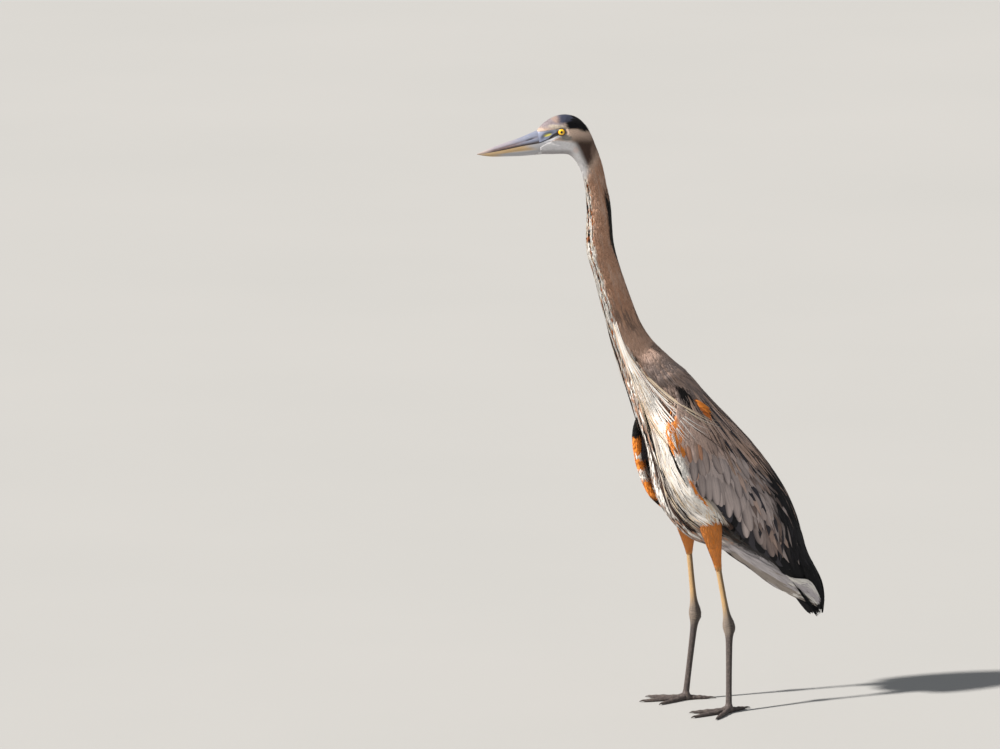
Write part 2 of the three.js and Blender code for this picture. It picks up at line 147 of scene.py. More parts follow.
class Finish:
    """A material under construction: node() adds any node, and set() feeds the surface shader."""

    def __init__(self, name):
        self.material = bpy.data.materials.new(name)
        self.material.use_nodes = True
        self.tree = self.material.node_tree
        self.surface = self.tree.nodes["Principled BSDF"]

    def feed(self, socket, value):
        if isinstance(value, Wire):
            self.tree.links.new(value.socket, socket)
        elif isinstance(value, tuple) and len(value) == 3 and socket.type == "RGBA":
            socket.default_value = (*value, 1)
        else:
            socket.default_value = value

    def node(self, kind, settings=None, sockets=None, output=0):
        made = self.tree.nodes.new(kind)
        for name, value in (settings or {}).items():
            setattr(made, name, value)
        for name, value in (sockets or {}).items():
            self.feed(made.inputs[name], value)
        return Wire(self, made.outputs[output])

    def colour(self, name):
        return self.node("ShaderNodeAttribute", {"attribute_name": name}, output="Color")

    def numbers(self, name):
        """The three numbers of a vector attribute."""
        vector = self.node("ShaderNodeAttribute", {"attribute_name": name}, output="Vector")
        split = self.node("ShaderNodeSeparateXYZ", None, {0: vector}).socket.node
        return [Wire(self, out) for out in split.outputs]

    def mix(self, share, first, second, blend="MIX"):
        settings = {"data_type": "RGBA", "blend_type": blend}
        return self.node("ShaderNodeMix", settings, {0: share, 6: first, 7: second}, output=2)

    def noise(self, scale, detail=2.0, place=None, stretch=(1, 1, 1)):
        place = place or self.node("ShaderNodeTexCoord", output="Object")
        placed = self.node("ShaderNodeVectorMath", {"operation": "MULTIPLY"}, {0: place, 1: stretch})
        return self.node("ShaderNodeTexNoise", None, {"Vector": placed, "Scale": scale, "Detail": detail})

    def bump(self, height, distance, strength=1.0):
        sockets = {"Height": height, "Distance": distance, "Strength": strength}
        return self.node("ShaderNodeBump", None, sockets)

    def set(self, **inputs):
        for name, value in inputs.items():
            self.feed(self.surface.inputs[name.replace("_", " ")], value)
        return self.material


def paint(red, green, blue):
    """A colour given as 0 to 255 on a screen, as the light that it sends back."""
    share = np.array([red, green, blue]) / 255
    return tuple(np.where(share <= 0.04045, share / 12.92, ((share + 0.055) / 1.055) ** 2.4))


# %% Floor
FLOOR_REACH = 40.0
floor_mesh = bpy.data.meshes.new("floor")
floor_corners = [(x * FLOOR_REACH, y * FLOOR_REACH, 0) for x, y in ((-1, -1), (1, -1), (1, 1), (-1, 1))]
floor_mesh.from_pydata(floor_corners, [], [(0, 1, 2, 3)])
floor = bpy.data.objects.new("floor", floor_mesh)
bpy.context.scene.collection.objects.link(floor)
floor_finish = Finish("studio floor")
floor_tone = floor_finish.mix(floor_finish.noise(0.8, 3.0), paint(168, 168, 166), paint(174, 173, 171))
floor_mesh.materials.append(floor_finish.set(Base_Color=floor_tone, Roughness=0.85))
print("floor:", 2 * FLOOR_REACH, "m across")

# %% [markdown]
# ## The bird's form
# Head, neck and trunk are one long body, so they are described as one sweep: rings threaded on a line, each
# reaching from a point on the bird's rear or upper outline to a point on its front or lower outline. The
# same rows describe the solids. The formula gives a point for any place along and around the body, at any
# depth under the outline, so the skin, the roots of the feathers and their tips can all be asked of it.


# %% Small geometry helpers
SMALL = 1e-3


def smooth(value, low, high):
    share = np.clip((value - low) / (high - low), 0, 1)
    return share * share * (3 - 2 * share)


def fade(value, low, high):
    """1 below low, and falling softly to 0 at high."""
    return 1 - smooth(value, low, high)


def lerp(first, second, share):
    return first + (second - first) * share


def dot(a, b):
    return (a * b).sum(-1, keepdims=True)


def unit(vectors):
    return vectors / np.maximum(np.sqrt(dot(vectors, vectors)), 1e-9)


def through(rows, place):
    """A smooth curve through rows of numbers, read at any place from 0 to the last row."""
    rows = np.asarray(rows, float)
    ended = np.vstack([2 * rows[0] - rows[1], rows, 2 * rows[-1] - rows[-2]])
    place = np.clip(np.asarray(place, float), 0, len(rows) - 1)
    row = np.minimum(place.astype(int), len(rows) - 2)
    t = (place - row)[..., None]
    p0, p1, p2, p3 = (ended[row + k] for k in range(4))
    square = (2 * p0 - 5 * p1 + 4 * p2 - p3) * t**2
    cube = (3 * p1 - p0 - 3 * p2 + p3) * t**3
    return (2 * p1 + (p2 - p0) * t + square + cube) / 2


HEAD_TURN = np.radians(-14)  # to the bird's right
TURN_AXIS_X = 255.0
TURN_FROM_Z, TURN_FULL_Z = 960.0, 1125.0


def turn_head(points):
    """Turns the top of the neck and the head, as the bird looks a little to its right."""
    angle = HEAD_TURN * smooth(points[..., 2], TURN_FROM_Z, TURN_FULL_Z)
    x, y = points[..., 0] - TURN_AXIS_X, points[..., 1]
    turned = [TURN_AXIS_X + x * np.cos(angle) - y * np.sin(angle), x * np.sin(angle) + y * np.cos(angle)]
    return np.stack([*turned, points[..., 2]], -1)


def spot(x, z, centre, reach, lean=0.0):
    """1 in the middle of an oval on the bird's side, falling softly to 0 outside it."""
    dx, dz = x - centre[0], z - centre[1]
    c, s = np.cos(np.radians(lean)), np.sin(np.radians(lean))
    far = np.hypot((dx * c + dz * s) / reach[0], (dz * c - dx * s) / reach[1])
    return fade(far, 0.6, 1.3)


# %% Head, neck and trunk as one sweep
# Each row is a ring: the upper or rear point, the lower or front point, half the width, and how far the
# widest place lies above (+) or below (-) the middle.
HEAD_ROWS = [
    (377, 1231, 372, 1181, 11.5, 0.05),
    (361, 1247, 351, 1180, 15.2, 0.05),
    (340, 1258, 333, 1180, 18.4, 0.08),
    (319, 1261.5, 318, 1179.5, 20.0, 0.08),
    (298, 1256.5, 309, 1177, 20.6, 0.05),
    (281, 1243, 300, 1169, 20.6, 0),
    (267, 1224, 292, 1158, 20.2, 0),
    (256, 1198, 285, 1144, 19.8, 0),
    (245, 1168, 280, 1127, 19.6, 0),
]
NECK_ROWS = [
    (233, 1114, 275, 1098, 21.2, 0),
    (223, 1067, 272.5, 1055, 23, 0),
    (219, 1024, 273.5, 1012, 24.2, 0),
    (215, 990, 272, 972, 25, 0),
    (203, 947, 257, 925, 25.6, 0),
    (180, 884, 239, 860, 27.6, 0),
    (154, 822, 217, 792, 30.5, 0),
    (123, 777, 200, 745, 35, 0),
]
TRUNK_ROWS = [
    (84, 738, 187, 706, 42, 0),
    (39, 701, 169, 655, 51, 0),
    (-4, 651, 150, 604, 57, 0),
    (-48, 599, 132, 548, 62, 0),
    (-90, 551, 122, 490, 65, 0),
    (-125, 503, 106, 438, 65, 0.05),
    (-149, 455, 71, 388, 61, 0.05),
    (-165, 414, 28, 352, 53, 0),
    (-177, 375, -27, 331, 43, 0),
    (-188, 339, -82, 303, 33, 0),
    (-201, 304, -128, 272, 26, -0.1),
    (-216, 269, -170, 243, 20, -0.1),
    (-231, 236, -207, 218, 12, -0.1),
    (-238, 214, -229, 207, 6, 0),
]
HEAD_END = len(HEAD_ROWS) - 1
NECK_END = HEAD_END + len(NECK_ROWS)
EYE = {"x": 329.0, "y": 14.2, "z": 1228.0, "across": 9.2, "deep": 7.5}


def face_relief(x, z):
    """How far the face stands out (+) or in (-) at the brow, the lore, the cheek and round the eye."""
    brow = 1.8 * spot(x, z, (337, 1240), (17, 4.5), 4)
    lore = -3.2 * spot(x, z, (355, 1219), (15, 8), -20)
    socket = -0.9 * spot(x, z, (EYE["x"], EYE["z"]), (11, 10))
    cheek = 1.0 * spot(x, z, (303, 1212), (17, 15), 30)
    jaw = -1.0 * spot(x, z, (345, 1205), (22, 2.6), 12)
    return brow + lore + socket + cheek + jaw


class Sweep:
    """A body of rings. along counts rows, around runs from the rear or upper line over the left side."""

    def __init__(self, rows, relief=None, turned=False):
        self.rows = np.array(rows, float)
        self.relief = relief
        self.turned = turned
        self.last = len(rows) - 1

    def plain(self, along, around, depth=0.0):
        top_x, top_z, low_x, low_z, half, rise = np.moveaxis(through(self.rows, along), -1, 0)
        up_x, up_z = (top_x - low_x) / 2, (top_z - low_z) / 2
        kept = 1 - depth / np.hypot(up_x, up_z)
        lift = (np.cos(around) + rise * np.sin(around) ** 2) * kept
        x, z = (top_x + low_x) / 2 + up_x * lift, (top_z + low_z) / 2 + up_z * lift
        y = np.sin(around) * (half - depth)
        if self.relief:
            y = y * (1 + self.relief(x, z) / half)
        return np.stack([x, y, z], -1)

    def at(self, along, around, depth=0.0):
        points = self.plain(along, around, depth)
        return turn_head(points) if self.turned else points


spine = Sweep(HEAD_ROWS + NECK_ROWS + TRUNK_ROWS, face_relief, turned=True)
print("spine:", len(spine.rows), "rows, crown at", spine.at(3.0, 0.0).round(1))

# %% The folded wings as one mantle
# The folded wings lie over the back and sides like a cape. The first sweep is the cape's outside. The
# second line is where each wing ends, from the shoulder round the bend of the wing and along the lower edge
# to the tip.
MANTLE_ROWS = [
    (66, 719, 190, 684, 46, -0.1),
    (38, 698, 200, 636, 62, -0.2),
    (-6, 651, 204, 584, 81, -0.3),
    (-52, 604, 200, 528, 92, -0.3),
    (-98, 556, 182, 463, 93, -0.25),
    (-144, 499, 140, 402, 86, -0.15),
    (-178, 447, 72, 362, 76, 0),
    (-202, 398, 8, 340, 65, 0),
    (-218, 352, -60, 312, 50, 0),
    (-234, 307, -112, 276, 37, 0),
    (-251, 276, -160, 241, 27, 0),
    (-266, 243, -205, 213, 18, 0),
    (-275, 205, -243, 182, 11, 0),
    (-273, 172, -265, 167, 4, 0),
]
LEFT, RIGHT = 1, -1
SIDE_NAMES = {LEFT: "left", RIGHT: "right"}
WING_BENDS = {
    LEFT: [(100, 664), (124, 618), (128, 592), (120, 560), (108, 534)],
    RIGHT: [(104, 664), (122, 614), (129, 584), (128, 554), (124, 526)],
}
WING_BENDS[LEFT] += [(91, 498), (72, 463), (42, 432), (12, 408), (-24, 380)]
WING_BENDS[RIGHT] += [(117, 495), (107, 465), (90, 432), (58, 404), (10, 378)]
WING_LOWER = [(-65, 343), (-118, 309), (-162, 282), (-192, 262)]
WING_LOWER += [(-214, 238), (-232, 207), (-250, 178), (-274, 158)]
WING_CLOSE = [(-330, 160), (-330, 780), (70, 780)]
mantle = Sweep(MANTLE_ROWS)


def inside(x, z, corners):
    """Whether each point lies inside a closed outline on the bird's side."""
    within = np.zeros(np.shape(x), bool)
    for (x0, z0), (x1, z1) in zip(corners, corners[1:] + corners[:1]):
        if z0 != z1:
            within ^= ((z0 > z) != (z1 > z)) & (x < (x1 - x0) * (z - z0) / (z1 - z0) + x0)
    return within


def wing_outline(side):
    return WING_BENDS[side] + WING_LOWER + WING_CLOSE


EDGE_STEPS = 180


def wing_edge(side, along):
    """How far round the mantle each ring reaches before the wing ends."""
    around = np.linspace(0.02, np.pi, EDGE_STEPS)
    grid_along, grid_around = np.meshgrid(along, around, indexing="ij")
    points = mantle.at(grid_along, grid_around)
    free = ~inside(points[..., 0], points[..., 2], wing_outline(side))
    first = np.where(free.any(1), free.argmax(1), EDGE_STEPS - 1)
    return around[first]


EDGE_ROWS = np.linspace(0, mantle.last, 131)
WING_EDGES = {side: wing_edge(side, EDGE_ROWS) for side in (LEFT, RIGHT)}
print("wing edges reach round to", {SIDE_NAMES[s]: round(float(e.max()), 2) for s, e in WING_EDGES.items()})


# %% Limbs
class Limb:
    """A round or oval body along a line of stations, each (x, y, z, half width, half depth)."""

    def __init__(self, stations):
        self.rows = np.array(stations, float)
        self.last = len(stations) - 1

    def at(self, along, around, depth=0.0):
        here = through(self.rows, along)
        axis = through(self.rows, np.asarray(along) + 0.02) - through(self.rows, np.asarray(along) - 0.02)
        axis = unit(axis[..., :3])
        side = np.zeros_like(axis)
        side[..., 1] = 1
        across = unit(side - axis * dot(side, axis))
        deep = np.cross(across, axis)
        wide = (here[..., 3] - depth) * np.cos(around)
        thick = (here[..., 4] - depth) * np.sin(around)
        return here[..., :3] + across * wide[..., None] + deep * thick[..., None]


LEGS = {
    LEFT: {"hip": (14, 41, 416), "feather_end": (-5, 53, 292), "ankle": (-27, 58, 170)},
    RIGHT: {"hip": (26, -40, 404), "feather_end": (12, -52, 312), "ankle": (-5, -58, 179)},
}
LEGS[LEFT] |= {"foot": (-9, 94, 14), "toe_out": 14}
LEGS[RIGHT] |= {"foot": (14, -62, 14), "toe_out": 8}
# Of each toe: how far it turns in from the foot's heading, in degrees, then its length and its claw's.
TOES = {"inner": (30, 74, 12), "middle": (0, 92, 13), "outer": (-32, 78, 12), "hind": (174, 48, 18)}
# Shares of the way with half width and half depth.
THIGH = [(-0.12, 14, 22), (0.1, 16.5, 26), (0.28, 16.5, 24), (0.46, 14.5, 19), (0.64, 12.2, 14.2)]
THIGH += [(0.82, 8.6, 9.6), (0.995, 6.0, 6.6)]
SHANK = [(-0.12, 5.4, 6.0), (0.0, 5.5, 6.1), (0.15, 5.4, 6.0), (0.3, 5.3, 6.0), (0.5, 5.4, 6.2)]
SHANK += [(0.64, 5.8, 6.8), (0.74, 6.4, 7.8), (0.82, 7.4, 9.8), (0.885, 8.4, 12.2)]
SHANK += [(0.94, 9.0, 13.4), (1.0, 9.3, 13.6)]
TARSUS = [(0.035, 8.8, 12.4), (0.06, 7.9, 10.8), (0.09, 7.0, 9.3), (0.13, 6.2, 8.2), (0.2, 5.7, 7.4)]
TARSUS += [(0.32, 5.3, 7.0), (0.46, 5.0, 6.7), (0.62, 5.0, 6.5), (0.78, 5.2, 6.4), (0.9, 5.6, 6.6)]
TARSUS += [(0.99, 6.2, 6.8), (1.06, 6.4, 6.8)]


def stations(start, end, shape):
    start, end = np.array(start, float), np.array(end, float)
    return [(*lerp(start, end, share), wide, deep) for share, wide, deep in shape]


def leg_form(leg):
    shank = stations(leg["feather_end"], leg["ankle"], SHANK)
    return Limb(shank + stations(leg["ankle"], leg["foot"], TARSUS))


thighs = {side: Limb(stations(leg["hip"], leg["feather_end"], THIGH)) for side, leg in LEGS.items()}
legs = {side: leg_form(leg) for side, leg in LEGS.items()}
print("legs:", {SIDE_NAMES[side]: len(limb.rows) for side, limb in legs.items()}, "stations")

# %% [markdown]
# ## Markings
# A heron's colours are zones with soft edges: a slate crown with a black band, a white face, a taupe neck
# with a streaked white front, grey wings with rust at the bend, rufous thighs. They are written as
# functions of the place on the bird, and both the skin and every feather ask the same functions, so the two
# can't disagree.

# %% The bird's colours
TAUPE = paint(184, 142, 117)
TAUPE_PALE = paint(198, 167, 149)
BUFF = paint(212, 186, 168)
LILAC = paint(160, 148, 152)
SLATE = paint(80, 84, 104)
CAP_BLACK = paint(12, 12, 16)
BROW_WHITE = paint(214, 200, 182)
FACE_WHITE = paint(240, 238, 240)
CHIN_GREY = paint(186, 182, 184)
EYE_GREY = paint(150, 144, 138)
NAPE_BROWN = paint(74, 56, 48)
RUST = paint(176, 98, 44)
CHESTNUT = paint(238, 142, 58)
THIGH_RUFOUS = paint(222, 140, 74)
WHITE = paint(238, 234, 228)
CREAM = paint(226, 206, 180)
STREAK_BLACK = paint(16, 14, 14)
BELLY_GREY = paint(168, 158, 150)
BACK_GREY = paint(146, 130, 124)
WING_TAUPE = paint(204, 176, 162)
COVERT_GREY = paint(198, 182, 177)
SCAPULAR = paint(142, 124, 117)
QUILL_SLATE = paint(62, 60, 66)
QUILL_BLACK = paint(14, 14, 18)
PANEL_GREY = paint(206, 200, 202)
BARE_TAN = paint(206, 166, 112)
BARE_GREY = paint(138, 124, 112)
TARSUS_BROWN = paint(78, 68, 66)
LORE_YELLOW = paint(206, 196, 92)
LORE_SLATE = paint(116, 122, 140)
LORE_FRONT_LIT = paint(130, 136, 158)
LORE_BLACK = paint(20, 18, 20)
LOWER_GREY = paint(168, 168, 172)


def over(base, colour, share):
    """Lays a colour over others, as thickly as share says."""
    return base + (np.array(colour) - base) * share[..., None]


def layers(tone, *coats):
    """Lays colours over a tone in turn. Each coat is a colour and how thickly it lies."""
    for colour, share in coats:
        tone = over(tone, colour, share)
    return tone


def flat(colour, like):
    return np.broadcast_to(np.array(colour), (*np.shape(like), 3)).copy()


STREAK_WAVES = 8


def streaks(along, around):
    """A chance from 0 to 1 at each place, much the same along the streaks in which the colours run."""
    front = np.mod(around, 2 * np.pi) - np.pi
    fine = np.interp(along, [HEAD_END, 12, 18], [15.0, 15.0, 20.0])
    pick = np.random.default_rng(5)
    total = 0.0
    for _ in range(STREAK_WAVES):
        ahead, across, start = pick.normal(0, 2.4), pick.normal(0, 1.0), pick.uniform(0, 6.3)
        total = total + np.sin(along * ahead + front * fine * across + start)
    return 0.5 + 0.5 * np.tanh(total * 0.9 / np.sqrt(STREAK_WAVES / 2))


def from_front(around):
    """How far round a place lies from the front line, either way: 0 on it, and pi on the nape."""
    return np.pi - np.abs(np.mod(around + np.pi, 2 * np.pi) - np.pi)


def head_tone(x, z):
    """The head's markings, at a place on the head before it is turned."""
    band_top = np.interp(x, [284, 300, 322], [1262, 1251, 1245])  # the black band rises towards the nape
    low_end = z - 1.4 * np.clip(285 - x, 0, 30)
    throat_x = np.interp(z, [1110, 1154, 1180, 1214], [260, 272, 285, 302])  # where the throat's white ends
    return layers(
        flat(BUFF, x),
        (EYE_GREY, spot(x, z, (322, 1216), (13, 7), 10)),
        (LILAC, smooth(x, 314, 336) * smooth(z, 1231, 1240)),
        (TAUPE_PALE, 0.6 * spot(x, z, (341, 1253), (9, 7), 30)),
        (SLATE, smooth(-x, -342, -328) * smooth(z, 1243, 1249)),
        (CAP_BLACK, smooth(-x, -324, -317) * smooth(z, 1233, 1236) * fade(z, band_top, band_top + 6)),
        (CAP_BLACK, smooth(-x, -300, -284) * smooth(z, 1229, 1233)),
        (BROW_WHITE, spot(x, z, (338, 1238), (19, 4.6), 5)),
        (NAPE_BROWN, smooth(-x, -318, -298) * fade(z, 1204, 1226) * smooth(low_end, 1128, 1160)),
        (TAUPE_PALE, 0.3 * spot(x, z, (262, 1190), (9, 18))),
        (FACE_WHITE, smooth(x, throat_x - 5, throat_x + 13) * fade(z, 1204, 1213)),
        (CHIN_GREY, fade(z, 1184, 1194) * smooth(x, 300, 316)),
        (CHESTNUT, 0.15 * spot(x, z, (302, 1192), (6, 7))),
        (FACE_WHITE, spot(x, z, (331, 1202), (22, 7), 10)),
    )


def neck_tone(x, z, around, dice):
    """The neck's markings. dice is one random number for each feather, and picks its streak."""
    off_front = from_front(around)
    nape_z = z + 44 * (dice - 0.5)  # ragged at both ends
    # The black stripe down the hind neck is painted shade of the neck's rear, the side turned from the light.
    nape_from = lerp(2.35, 1.95, smooth(z, 955, 1015))
    nape = smooth(off_front, nape_from, nape_from + 0.25)
    lower_nape = smooth(off_front, 2.45, 2.7) * smooth(dice, 0.35, 0.6) * fade(z, 985, 1010)
    tone = layers(
        flat(TAUPE, x),
        (TAUPE_PALE, 0.7 * smooth(dice, 0.5, 1.0)),
        (TAUPE_PALE, 0.55 * fade(z, 790, 880)),
        (NAPE_BROWN, 0.6 * spot(x, z, (183, 838), (26, 60), -60) * smooth(dice, 0.55, 0.75)),
        (STREAK_BLACK, nape * smooth(nape_z, 930, 975) * fade(nape_z, 1080, 1125)),
        (NAPE_BROWN, lower_nape * smooth(z, 770, 800)),
    )
    half = 0.80 + 0.06 * np.sin(z * 0.11) + 0.35 * fade(z, 740, 820)
    stripe = fade(off_front, half - 0.07, half + 0.07)
    rusty, black = lerp(0.72, 0.84, smooth(-z, -900, -780)), lerp(0.84, 0.93, smooth(-z, -900, -780))
    white = lerp(0.5, 0.74, smooth(-z, -980, -840))
    picks = np.select([dice < white, dice < rusty, dice < black], [0, 1, 2], 3)
    front = np.array([WHITE, CREAM, RUST, STREAK_BLACK])[picks]
    return lerp(tone, front, stripe[..., None])


def trunk_tone(x, y, z, around, dice):
    """The breast, belly and vent."""
    front = fade(from_front(around), 1.05, 1.35)
    upper = smooth(z, 590, 640)  # the upper breast is greyer and plainer
    cuts = [dice < lerp(0.38, 0.1, upper), dice < lerp(0.74, 0.5, upper), dice < lerp(0.86, 0.94, upper)]
    breast = np.array([WHITE, BELLY_GREY, TAUPE, STREAK_BLACK])[np.select(cuts, [0, 1, 2], 3)]
    tone = over(flat(BACK_GREY, x), TAUPE_PALE, 0.5 * smooth(dice, 0.3, 0.9))
    # painted shadow under the wing's lower edge, between the thigh and the pale tail panel
    above_panel = z - np.interp(-x, [0, 31, 75, 123, 185], [372, 354, 323, 298, 257])
    shaded = smooth(above_panel, 0, 8) * smooth(-x, -10, 6) * fade(z, 430, 450)
    return layers(
        lerp(tone, breast, front[..., None]),
        # black beside the breast at the bends of the wings: partly black feathers, partly painted shade in
        # the gaps between wing and breast
        (STREAK_BLACK, spot(x, z, (136, 574), (13, 24), 10) * smooth(y, 4, 12)),
        (STREAK_BLACK, spot(x, z, (146, 592), (14, 40)) * smooth(-y, 6, 16)),
        (PANEL_GREY, fade(z, 318, 360)),
        (STREAK_BLACK, 0.9 * shaded),
    )


def spine_tone(plain, along, around, dice):
    """The markings of head, neck and trunk, by the place before the head is turned."""
    x, y, z = np.moveaxis(plain, -1, 0)
    head, neck = head_tone(x, z), neck_tone(x, z, around, dice)
    trunk = trunk_tone(x, y, z, around, dice)
    upper = lerp(head, neck, smooth(along, HEAD_END - 0.9, HEAD_END + 0.3)[..., None])
    return lerp(upper, trunk, smooth(along, NECK_END - 0.6, NECK_END + 1.2)[..., None])


def behind_edge(side, x, z):
    """How far a place lies from the front edge of the wing, in millimetres."""
    corners = np.array(WING_BENDS[side], float)
    nearest = np.full(np.shape(x), 1e3)
    for (x0, z0), (x1, z1) in zip(corners[:-1], corners[1:]):
        share = ((x - x0) * (x1 - x0) + (z - z0) * (z1 - z0)) / ((x1 - x0) ** 2 + (z1 - z0) ** 2)
        share = np.clip(share, 0, 1)
        nearest = np.minimum(nearest, np.hypot(x - lerp(x0, x1, share), z - lerp(z0, z1, share)))
    return nearest


def left_bend_tone(x, z, dice):
    """The left wing's front edge: chestnut at the wrist, then a white rim before chestnut and grey."""
    inward = behind_edge(LEFT, x, z)
    return layers(
        flat(WHITE, x),
        (CHESTNUT, smooth(inward, 3, 6) * fade(z, 496, 508) * (dice < 0.85)),
        (COVERT_GREY, smooth(inward, 9, 13) * fade(z, 536, 548)),
        (CHESTNUT, smooth(z, 548, 556) * (dice < 0.9)),
        (WING_TAUPE, smooth(z, 606, 618)),
        (NAPE_BROWN, fade(z, 410, 422)),
    )


def right_bend_tone(x, z, dice):
    """The right wing's front edge: black above, then chestnut with two white spots."""
    white = np.maximum(spot(x, z, (128, 521), (60, 5.5)), spot(x, z, (120, 482), (60, 12)))
    return layers(
        flat(CHESTNUT, x),
        (WHITE, white * (dice < 0.85)),
        (STREAK_BLACK, smooth(z, 556, 566)),
        (STREAK_BLACK, fade(z, 425, 445) * (dice < 0.6)),
    )


BEND_TONES = {LEFT: left_bend_tone, RIGHT: right_bend_tone}


def dark_rear(x, z):
    """1 towards the rear edge of the folded wing, where the long dark feathers show, and with painted shade
    on the side turned from the light.
    """
    border = np.interp(z, [220, 260, 300, 350, 400, 460, 520, 560], [192, 184, 170, 150, 135, 123, 134, 158])
    return smooth(-x, border - 16, border + 12)


def wing_tone(x, y, z, dice):
    """The folded wing, by the place on the bird's side."""
    wrist = np.maximum(spot(x, z, (105, 589), (14, 17)), spot(x, z, (117, 568), (15, 18)))
    wrist = np.maximum(wrist, spot(x, z, (100, 556), (22, 8), 34))
    specks = 0.45 * np.maximum(spot(x, z, (57, 541), (9, 9)), spot(x, z, (64, 501), (4, 12)))
    left_edge = fade(behind_edge(LEFT, x, z), 8, 11) * (y > 0)
    right_edge = fade(behind_edge(RIGHT, x, z), 17, 22) * (y < 0)
    return layers(
        flat(WING_TAUPE, x),
        (BACK_GREY, smooth(z, 600, 660)),
        (TAUPE, 0.75 * smooth(z, 665, 712)),
        (COVERT_GREY, smooth(-z, -560, -500)),
        (SCAPULAR, smooth(-x, 60, 150) * smooth(-z, -560, -440)),
        (QUILL_BLACK, dark_rear(x, z)),
        (STREAK_BLACK, spot(x, z, (66, 652), (50, 15), 52) * smooth(dice, 0.05, 0.15)),
        (CHESTNUT, spot(x, z, (35, 636), (18, 8.5), 38)),
        (CHESTNUT, np.maximum(wrist * smooth(dice, 0.1, 0.2), specks)),
        (left_bend_tone(x, z, dice), left_edge),
        (right_bend_tone(x, z, dice), right_edge),
    )


print("crown colour:", head_tone(np.array([300.0]), np.array([1255.0])).round(3)[0])

# %% [markdown]
# ## The skin
# One closed skin carries everything: the body, a pad under each folded wing, the thighs, and the bare scaly
# legs and feet. Each is drawn as its own closed form and they are joined with booleans, which is quicker
# and smoother than sculpting one mesh. Under plumage the skin lies deeper than the outline by the depth of
# the coat. On the legs there is no coat, so the scales are cut into the form itself.

# %% Meshes from grids of points
def in_frame(points):
    return (np.asarray(points, float).reshape(-1, 3) + CENTRE_SHIFT) * MM


def make_mesh(name, points, faces):
    """A mesh from points in millimetres and arrays of faces, each array with its own number of corners."""
    mesh = bpy.data.meshes.new(name)
    places = in_frame(points)
    sizes = np.concatenate([np.full(len(f), f.shape[1]) for f in faces])
    corners = np.concatenate([f.ravel() for f in faces])
    mesh.vertices.add(len(places))
    mesh.vertices.foreach_set("co", places.astype(np.float32).ravel())
    mesh.loops.add(len(corners))
    mesh.loops.foreach_set("vertex_index", corners.astype(np.int32))
    mesh.polygons.add(len(sizes))
    mesh.polygons.foreach_set("loop_start", (np.cumsum(sizes) - sizes).astype(np.int32))
    mesh.update(calc_edges=True)
    mesh.shade_smooth()
    return mesh


def make_object(name, mesh, material=None):
    thing = bpy.data.objects.new(name, mesh)
    if material:
        mesh.materials.append(material)
    bpy.context.scene.collection.objects.link(thing)
    return thing


def closed_grid(points, strip_caps=False):
    """Faces of a grid of points (rows, ring) that closes round each ring and at both ends."""
    rows, ring = points.shape[:2]
    index = np.arange(rows * ring).reshape(rows, ring)
    beside = np.roll(index, -1, axis=1)
    walls = np.stack([index[:-1], beside[:-1], beside[1:], index[1:]], -1).reshape(-1, 4)
    if strip_caps:  # the ring is a thin shell, so each end is closed straight across the thickness
        k = np.arange(ring // 2 - 1)
        across = np.stack([k, ring - 1 - k, ring - 2 - k, k + 1], -1)
        return points.reshape(-1, 3), [np.vstack([walls, across, across[:, ::-1] + index[-1, 0]])]
    middles = [points[0].mean(0), points[-1].mean(0)]
    first, last = rows * ring, rows * ring + 1
    start = np.stack([np.full(ring, first), beside[0], index[0]], -1)
    end = np.stack([np.full(ring, last), index[-1], beside[-1]], -1)
    return np.vstack([points.reshape(-1, 3), *middles]), [walls, np.vstack([start, end])]


def volume(points, faces):
    total = 0.0
    for f in faces:
        for k in range(1, f.shape[1] - 1):
            a, b, c = points[f[:, 0]], points[f[:, k]], points[f[:, k + 1]]
            total += (a * np.cross(b, c)).sum() / 6
    return total


def solid_form(name, points, strip_caps=False):
    """A closed mesh object from a grid of points, with its faces looking outwards."""
    places, faces = closed_grid(points, strip_caps)
    if volume(places, faces) < 0:
        faces = [f[:, ::-1] for f in faces]
    return make_object(name, make_mesh(name, places, faces))


def grid(surface, along, around, depth=0.0):
    """Points of a surface at every pair of the places along and around."""
    rows, turns = np.meshgrid(along, around, indexing="ij")
    depth = np.asarray(depth, float)
    return surface.at(rows, turns, depth[:, None] if depth.ndim else depth), rows, turns


def full_turn(sides):
    return np.arange(sides) / sides * 2 * np.pi


# %% Gathering the skin's parts
SPINE_DEPTH_AT = [0, 1, 3, 6, 8, 12, 17, 19, 26, 28, 30]
SPINE_DEPTH = [0.6, 0.9, 1.1, 1.3, 1.5, 2.0, 3.8, 6.0, 6.0, 3.6, 1.8]
THIGH_DEPTH = 2.2
PLAIN_DICE = 0.3  # the skin takes the commonest of the feathers' colours
# The skin is painted darker than the coat over it, as painted shade, so that the gaps between feathers look
# deep.
CAPE_SHADE, CAPE_INNER_SHADE, BEND_SKIN_SHADE, THIGH_SKIN_SHADE = 0.55, 0.2, 0.5, 0.7


def spine_depth(along):
    return np.interp(along, SPINE_DEPTH_AT, SPINE_DEPTH)


skin_parts = []
skin_points, skin_tones, skin_scales = [], [], []


def add_to_skin(name, points, tones, scales, strip_caps=False):
    """Adds a closed form to the skin. scales holds millimetres along and around, and how bare the skin is."""
    skin_parts.append(solid_form(name, points, strip_caps))
    skin_points.append(points.reshape(-1, 3))
    skin_tones.append(np.broadcast_to(tones, points.shape).reshape(-1, 3))
    skin_scales.append(np.broadcast_to(scales, points.shape).reshape(-1, 3))


